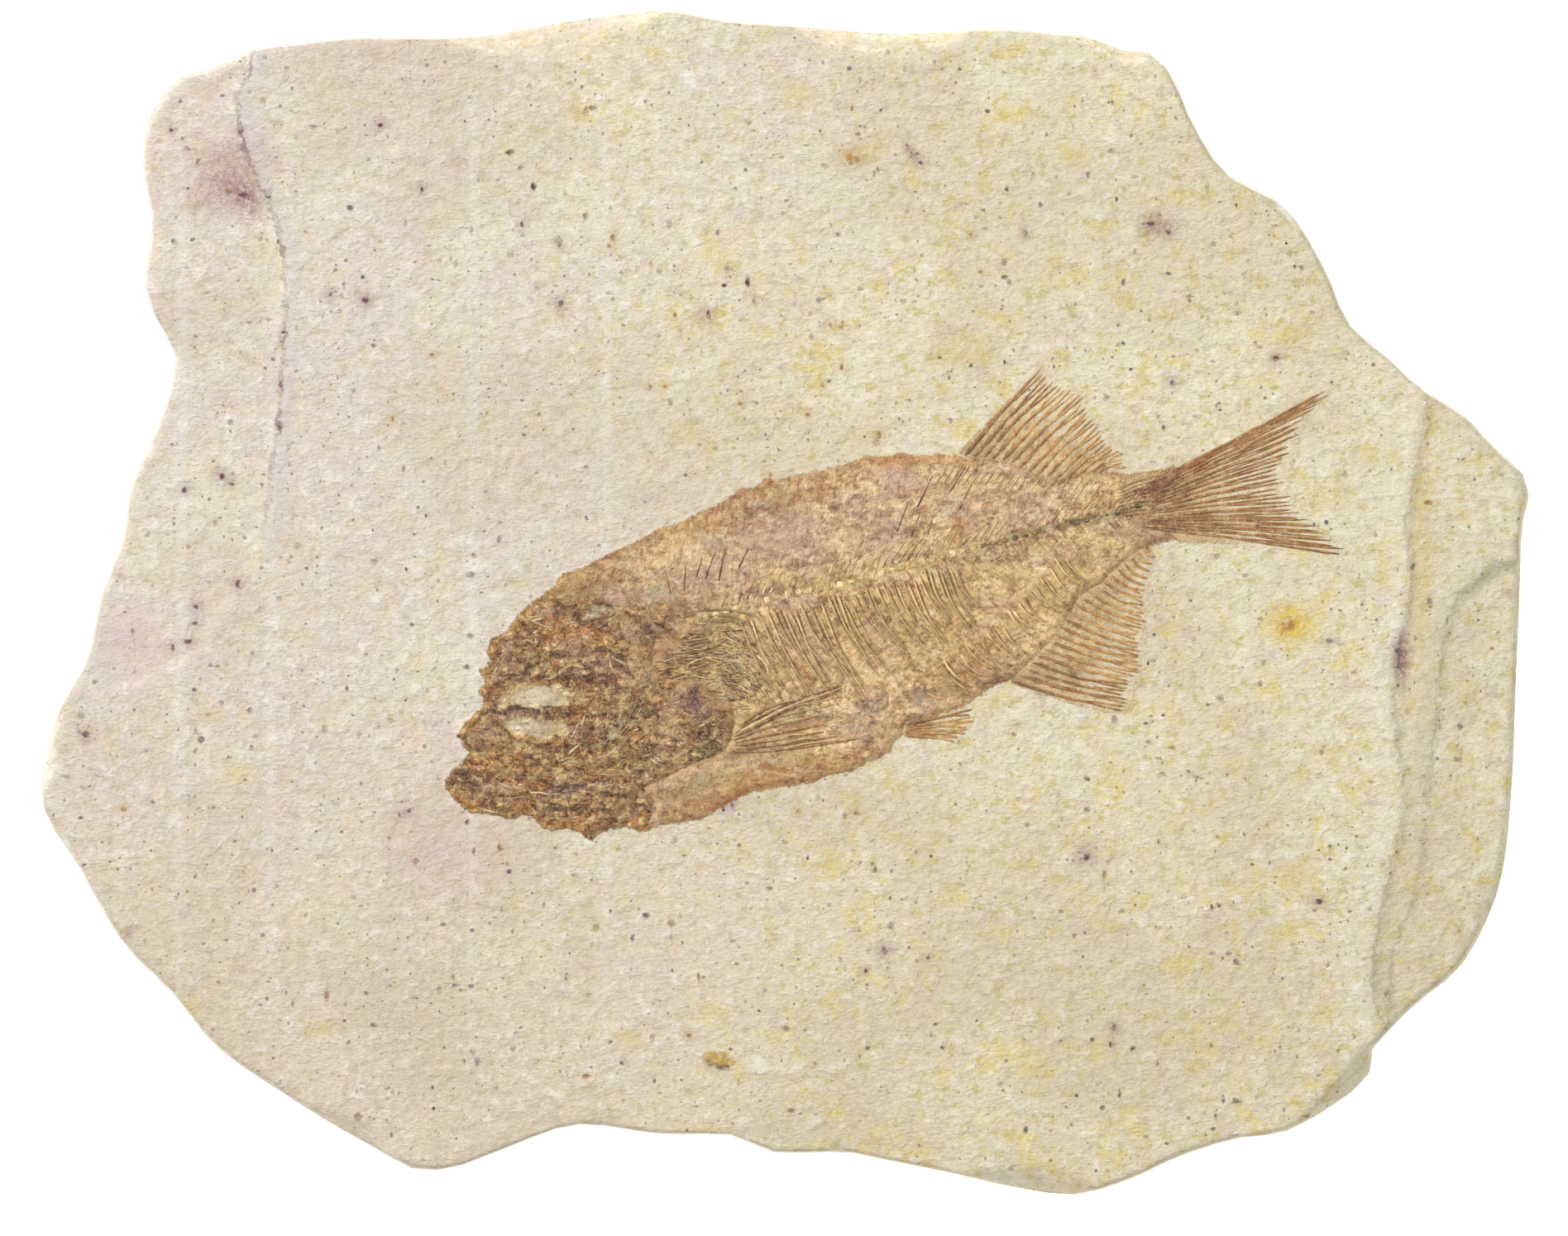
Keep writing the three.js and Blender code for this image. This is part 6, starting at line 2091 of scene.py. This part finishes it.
FINS: tuple[FinPlan, ...] = (
    FinPlan("dorsal", "dorsal_fin",
            ((23, 19.2), (24.6, 21.6), (27.4, 24.5), (30.8, 28.2), (33.4, 30.8), (35.4, 31.4), (38.9, 28.6),
             (41, 26), (43, 23), (45, 20), (45.8, 18), (43, 16.8), (38, 15.6), (33, 15.6), (28, 18)),
            ((24, 19.5), (27, 19.2), (30.2, 18.6), (33.3, 17), (37, 16.4), (41, 17.2)),
            ((34.8, 31.4), (36.8, 29.4), (39.4, 27.8), (41.2, 24.9), (43, 22), (44.9, 20), (45.6, 18.4)),
            rays=15, width=(0.66, 0.4), bow=0.35, fork=0.5, tints=(Tint.RAY, Tint.RAY_TIP),
            cover=(1.0, 0.25), lead=(3, Tint.BROWN), seed=21),
    FinPlan("anal", "anal_fin",
            ((29.6, -10.2), (33.5, -12), (37.1, -13), (39.7, -14), (45.7, -14.6), (47.4, -11), (48.2, -5),
             (48.4, 2), (49, 6.6), (48, 8), (44, 5.6), (40, 2.2), (36, -3), (33, -6.6)),
            ((30.3, -10.5), (32.2, -8.8), (34.4, -6.4), (36.3, -3.8), (38.6, -0.6), (42, 2.4), (45, 5),
             (48, 7.4)),
            ((45.7, -14.3), (46.1, -12.6), (46.2, -10.9), (48, -8.8), (47.6, -6.4), (48, -3.3),
             (48.1, -0.8), (48, 1.4), (48.4, 3.8), (49.3, 6)),
            rays=22, width=(0.6, 0.4), bow=-0.4, fork=0.42, tints=(Tint.RAY, Tint.RAY_TIP),
            cover=(1.0, 0.3), lead=(4, Tint.BROWN), seed=22),
    FinPlan("pelvic", "pelvic_fin",
            ((15.6, -15.8), (17.8, -15.9), (20, -15.5), (23, -14.9), (25.4, -14.3), (25.6, -15.2),
             (25, -17.2), (23, -18.4), (20, -18.2), (15.8, -17.9)),
            ((16, -16.3), (16.1, -17.7)),
            ((25.4, -14.5), (25.5, -15.4), (24.8, -16.4), (24.8, -17.2), (23, -18.2)),
            rays=6, width=(0.55, 0.36), bow=0.1, fork=0.4, tints=(Tint.RAY, Tint.RAY_TIP),
            cover=(0.8, 0.15), lead=(1, Tint.BROWN), seed=23),
    FinPlan("tail", "tail_fin",
            ((50.4, 16), (52.5, 17.5), (54.1, 18.4), (57.1, 20.4), (60, 22.1), (63.7, 24), (68, 26.5),
             (72.6, 28.4), (70, 25), (68.6, 22), (67.4, 18.4), (67.6, 15), (69, 12), (71.4, 9.6), (74, 7),
             (68, 6.8), (62, 7.4), (57, 7.8), (52, 8.2), (49.6, 10), (48.6, 13)),
            ((46.4, 14.6), (47.2, 14.2), (48, 13.4), (48.4, 12.4), (48.2, 11.2), (47.4, 10)),
            ((73, 28.3), (70.6, 26), (68.6, 22.8), (66.8, 19), (66.6, 15.6), (68.2, 13), (70, 11),
             (72.2, 9.2), (74.4, 6.7)),
            rays=20, width=(0.6, 0.4), bow=0.12, fork=0.56, tints=(Tint.BROWN, Tint.RAY),
            cover=(1.05, 0.24), lead=(5, Tint.RED), seed=24),
)


class FinFilm(Film):
    """Skin between the rays: it thins out from the base to the tips."""

    def __init__(self, plan: FinPlan, slab: Slab) -> None:
        """Thin skin of one fin, not built yet.

        Args:
            plan: Plan of the fin.
            slab: Slab it lies on.
        """
        film = FilmPlan(plan.name + "_fin_skin", plan.node, "fossil_bone", plan.skin, cell=0.3,
                        thickness=0.05, ground=Tint.SAND, rear_ground=Tint.SAND, rim=Tint.TAN,
                        rim_width=0.5, fibre_weight=0.3, crumple=0.2, seed=plan.seed * 10)
        own = curve(plan.skin, 4 * len(plan.skin), closed=True)
        super().__init__(film, slab, lambda x, y: inside_distance(x, y, own), ())
        self.fin = plan

    def cover(self, x: Array, y: Array) -> Array:
        """How fully the skin hides the stone, from the base to the tips.

        Args:
            x: Across, in mm.
            y: Up, in mm.

        Returns:
            Cover of every point.
        """
        base = curve(self.fin.bases, 30)
        tips = curve(self.fin.tips, 30)
        near, far = nearest(x, y, base).distance, nearest(x, y, tips).distance
        share = near / np.maximum(near + far, 1e-6)
        low, high = self.fin.cover
        return low + (high - low) * smooth(0.0, 0.75, share)


@dataclass(frozen=True)
class Fleck:
    """Small crisp spot of mineral on the stone."""

    tint: Tint
    x: float
    y: float
    size: float
    strength: float


class Flecks:
    """Crisp spots: small discs that lie on the stone and fade into it at their rims."""

    RINGS = (0.4, 0.75, 1.05, 1.45)
    FADE = (1.0, 0.85, 0.35, 0.0)
    LIFT = (0.045, 0.04, 0.03, -0.04)
    SPOKES = 8

    def __init__(self, name: str, flecks: Sequence[Fleck], slab: Slab) -> None:
        """Flecks that make one piece, not built yet.

        Args:
            name: Name of the piece.
            flecks: Flecks to build.
            slab: Slab they lie on.
        """
        self.name = name
        self.flecks = flecks
        self.slab = slab
        self.piece: Optional[bpy.types.Object] = None

    def build(self) -> None:
        """Builds every fleck as a ragged dome of rings, closed underneath."""
        many = len(self.flecks)
        centre = np.array([(f.x, f.y) for f in self.flecks])
        size = np.array([f.size for f in self.flecks])
        turn = np.linspace(0, 2 * np.pi, self.SPOKES, endpoint=False)
        own = np.arange(many)[:, None] * 7.3
        ragged = 1 + 0.45 * noise(own + 1.6 * np.cos(turn), 1.6 * np.sin(turn) + own, 1.0, 301, 2)
        stretch = 1 + 0.35 * noise(own, own * 0, 1.0, 302)
        rings = np.array(self.RINGS)
        reach = size[:, None, None] * rings[None, :, None] * ragged[:, None, :]
        x = centre[:, 0, None, None] + reach * np.cos(turn) * stretch[:, None]
        y = centre[:, 1, None, None] + reach * np.sin(turn) / stretch[:, None]
        count = len(rings) * self.SPOKES
        px = np.column_stack([centre[:, 0], x.reshape(many, -1), centre[:, 0]])
        py = np.column_stack([centre[:, 1], y.reshape(many, -1), centre[:, 1]])
        lift = np.concatenate([[0.045], np.repeat(self.LIFT, self.SPOKES), [-0.12]])
        pz = self.slab.top(px.ravel(), py.ravel()).reshape(px.shape) + lift
        points = np.stack([px, py, pz], axis=2).reshape(-1, 3)
        fade = np.concatenate([[1.0], np.repeat(self.FADE, self.SPOKES), [0.0]])
        faces = []
        for k in range(len(rings) - 1):
            a = 1 + k * self.SPOKES + np.arange(self.SPOKES)
            b = 1 + k * self.SPOKES + (np.arange(self.SPOKES) + 1) % self.SPOKES
            faces.append(np.column_stack([a, a + self.SPOKES, b + self.SPOKES, b]))
        half = np.arange(0, self.SPOKES, 2)
        faces.append(np.column_stack([np.zeros_like(half), 1 + half, 1 + (half + 1) % self.SPOKES,
                                      1 + (half + 2) % self.SPOKES]))
        outer = 1 + (len(rings) - 1) * self.SPOKES
        faces.append(np.column_stack([np.full_like(half, count + 1), outer + (half + 2) % self.SPOKES,
                                      outer + (half + 1) % self.SPOKES, outer + half]))
        one = np.vstack(faces)
        total = count + 2
        spread = (one[None] + (np.arange(many) * total)[:, None, None]).reshape(-1, 4)
        self.piece = add_mesh(self.name, points, spread)
        tint = np.repeat(np.array([f.tint.rgb for f in self.flecks]), total, axis=0)
        strong = np.repeat([f.strength for f in self.flecks], total) * np.tile(fade, many)
        self.slab.stone_marks(self.piece, points[:, 0], points[:, 1])
        layer = self.piece.data.attributes["stain"]
        rgb = np.empty(len(points) * 4, dtype=np.float32)
        layer.data.foreach_get("color", rgb)
        rgb = rgb.reshape(-1, 4)
        under, below = rgb[:, :3], rgb[:, 3:4]
        top = strong[:, None]
        total_alpha = top + below * (1 - top)
        rgb[:, :3] = (tint * top + under * below * (1 - top)) / np.maximum(total_alpha, 1e-6)
        rgb[:, 3:4] = total_alpha
        layer.data.foreach_set("color", rgb.ravel())

    def dress(self, finishes: Finishes) -> None:
        """Gives the flecks the stone's finish and ties them to the part."""
        assert self.piece is not None
        self.piece.data.materials.append(finishes.limestone)
        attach(self.piece, "root")


def placed_flecks(rim_at: Callable[[Array], Array]) -> list[Fleck]:
    """Spots that can be told apart on the stone, and a seeded scatter of smaller ones.

    Args:
        rim_at: Distance from the middle of the slab to its rim in each direction.

    Returns:
        The flecks that lie well inside the rim.
    """
    flecks = [Fleck(Tint.PURPLE, x, y, 0.58 * r, 0.9) for x, y, r in PURPLE_SPOTS]
    flecks += [Fleck(Tint.ORANGE if r > 0.85 else Tint.BROWN, x, y, 0.62 * r, 0.7) for x, y,
               r in BROWN_SPOTS]
    flecks += [Fleck(Tint.SLATE, x, y, 0.85 * r, 0.9) for x, y, r in SLATE_SPOTS]
    rng = np.random.default_rng(77)
    tints = (Tint.BROWN, Tint.OLIVE, Tint.MAUVE, Tint.SLATE, Tint.PURPLE, Tint.BLACK)
    for _ in range(LOOSE_FLECKS):
        x, y = rng.uniform(-96, 96), rng.uniform(-76, 76)
        tint = tints[int(rng.integers(0, len(tints)))]
        flecks.append(Fleck(tint, x, y, min(rng.gamma(2.0, 0.07) + 0.1, 0.5), rng.uniform(0.4, 0.85)))
    turn = np.array([math.atan2(f.y, f.x) for f in flecks])
    inside = rim_at(turn) - np.array([math.hypot(f.x, f.y) for f in flecks]) > 2.5
    return [fleck for fleck, keep in zip(flecks, inside) if keep]


class Fish:
    """The pressed fish: crusts of skull, jaw and trunk, with the slender bones and fins on them."""

    def __init__(self, slab: Slab) -> None:
        """Films of the fish, not built yet.

        Args:
            slab: Slab it lies on.
        """
        self.slab = slab
        trunk = FilmPlan("trunk_crust", "trunk", "fossil_skin", TRUNK, cell=0.22, thickness=0.3,
                         ground=Tint.NECK, rear_ground=Tint.BODY, rim=Tint.RAY, rim_width=1.2,
                         fibre_weight=0.32, crumple=0.35, seed=110, flakes=BODY_FLAKES,
                         covered_by=(SKULL, JAW))
        skull = FilmPlan("skull_crust", "skull", "fossil_bone", SKULL, cell=0.16, thickness=0.46,
                         ground=Tint.HEAD, rear_ground=Tint.HEAD, rim=Tint.AMBER, rim_width=1.1,
                         fibre_weight=0.3, crumple=0.95, seed=120, flakes=HEAD_FLAKES)
        jaw = FilmPlan("lower_jaw_crust", "lower_jaw", "fossil_bone", JAW, cell=0.16, thickness=0.38,
                       ground=Tint.HEAD, rear_ground=Tint.NECK, rim=Tint.AMBER, rim_width=1.1,
                       fibre_weight=0.3, crumple=0.95, seed=130, flakes=HEAD_FLAKES, covered_by=(SKULL,))
        self.trunk = Film(trunk, slab, fish_edge, trunk_marks())
        self.films = [self.trunk, SkullFilm(skull, slab, fish_edge, SKULL_MARKS),
                      Film(jaw, slab, fish_edge, JAW_MARKS)]
        self.films += [FinFilm(plan, slab) for plan in FINS]

    def build(self, finishes: Finishes) -> None:
        """Builds and dresses every piece of the fish.

        Args:
            finishes: Materials of the part.
        """
        on_trunk = self.trunk.height_at

        def on_both(x: Array, y: Array) -> Array:
            """Height of the trunk's crust, or of the stone where that is higher."""
            return np.maximum(on_trunk(x, y), self.slab.relief(x, y))

        skull, jaw = self.films[1:3]
        holes = SkullFilm.OPENINGS
        throat = Scatter(THROAT, count=640, reach=(1.0, 4.2), width=(0.12, 0.26), height=0.3, spread=13.0,
                         tints=(Tint.SAND, Tint.BODY, Tint.TAN, Tint.DARK, Tint.SAND, Tint.BROWN,
                                Tint.PALE), seed=604)
        sets = [
            Strands("vertebrae", "backbone", vertebrae(), on_trunk, 201),
            Strands("vertebral_spines", "backbone", spines(), on_trunk, 202),
            Strands("ribs", "trunk", ribs(), on_trunk, 203),
            Strands("pectoral_rays", "pectoral_fin", pectoral_rays(), on_trunk, 204),
            Strands("skull_splinters", "skull", SCATTERS["skull"].strands(head_grain, holes),
                    skull.height_at, 205, 5),
            Strands("jaw_splinters", "lower_jaw", SCATTERS["lower_jaw"].strands(head_grain), jaw.height_at,
                    206, 5),
            Strands("trunk_splinters", "trunk", SCATTERS["trunk"].strands(body_grain, (SKULL, JAW)),
                    on_trunk, 207, 5),
            Strands("throat_splinters", "trunk", throat.strands(body_grain), on_trunk, 208, 6),
        ]
        sets += [Strands(plan.name + "_rays", plan.node, ray_strands(plan), on_both,
                         plan.seed) for plan in FINS]
        stone_flecks = Flecks("stone_flecks", placed_flecks(self.slab.rim_at), self.slab)
        for part in (*self.films, *sets, stone_flecks):
            part.build()
            part.dress(finishes)
            log.info("%s built", part.piece.name)


# ------------------------------------------------------------------ studio


class Studio:
    """Pale floor, soft light and a camera looking straight down."""

    def __init__(self, width: float = 208.56, centre: tuple[float, float] = (-0.11, -2.09)) -> None:
        """Measures of the view from above.

        Args:
            width: Width of the view, in mm.
            centre: Middle of the view, in mm.
        """
        self.width = width
        self.centre = centre

    def build(self) -> None:
        """Adds floor, lights and camera."""
        self._floor()
        self._world()
        self._area("key", (-1.6, 1.5, 1.8), 1.1, 71.0)
        self._area("fill", (1.5, -1.0, 2.1), 2.0, 8.0)
        self._camera()

    def _floor(self) -> None:
        """Wide pale floor just below the slab."""
        a = 900.0
        points = np.array([[-a, -a, -0.02], [a, -a, -0.02], [a, a, -0.02], [-a, a, -0.02]])
        floor = add_mesh("floor", points, np.array([[0, 1, 2, 3]]), False)
        made = bpy.data.materials.new("floor")
        made.use_nodes = True
        shader = made.node_tree.nodes["Principled BSDF"]
        shader.inputs["Base Color"].default_value = (0.9, 0.9, 0.9, 1)
        shader.inputs["Roughness"].default_value = 0.9
        shader.inputs["Emission Color"].default_value = (1, 1, 1, 1)
        shader.inputs["Emission Strength"].default_value = 0.6
        floor.data.materials.append(made)

    def _world(self) -> None:
        """Even white surroundings."""
        world = bpy.data.worlds.new("studio")
        world.use_nodes = True
        world.node_tree.nodes["Background"].inputs[0].default_value = (1, 1, 1, 1)
        world.node_tree.nodes["Background"].inputs[1].default_value = 0.6
        bpy.context.scene.world = world

    def _area(self, name: str, place: tuple[float, float, float], size: float, power: float) -> None:
        """Square lamp aimed at the middle of the slab.

        Args:
            name: Name of the lamp.
            place: Where it hangs, in m.
            size: Side, in m.
            power: Power, in W.
        """
        lamp = bpy.data.lights.new(name, "AREA")
        lamp.shape = "SQUARE"
        lamp.size = size
        lamp.energy = power
        made = bpy.data.objects.new(name, lamp)
        made.location = place
        made.rotation_euler = (-Vector(place)).to_track_quat("-Z", "Y").to_euler()
        bpy.context.scene.collection.objects.link(made)

    def _camera(self) -> None:
        """Camera straight above, with the whole slab in view."""
        lens = bpy.data.cameras.new("camera")
        lens.lens = 110.0
        lens.sensor_width = 36.0
        made = bpy.data.objects.new("camera", lens)
        far = self.width * lens.lens / lens.sensor_width
        made.location = (self.centre[0] * MM, self.centre[1] * MM, (14.0 + far) * MM)
        lens.clip_start, lens.clip_end = 0.01, 10.0
        bpy.context.scene.collection.objects.link(made)
        bpy.context.scene.camera = made


def main() -> None:
    """Builds the slab and the fish in order."""
    logging.basicConfig(level=logging.INFO)
    finishes = Finishes()
    slab = Slab(SlabShape())
    slab.build()
    slab.dress(finishes)
    log.info("slab built")
    Fish(slab).build(finishes)
    Studio().build()
    scene = bpy.context.scene
    scene.view_settings.view_transform = "Standard"
    scene.view_settings.look = "None"


if __name__ == "__main__":
    main()
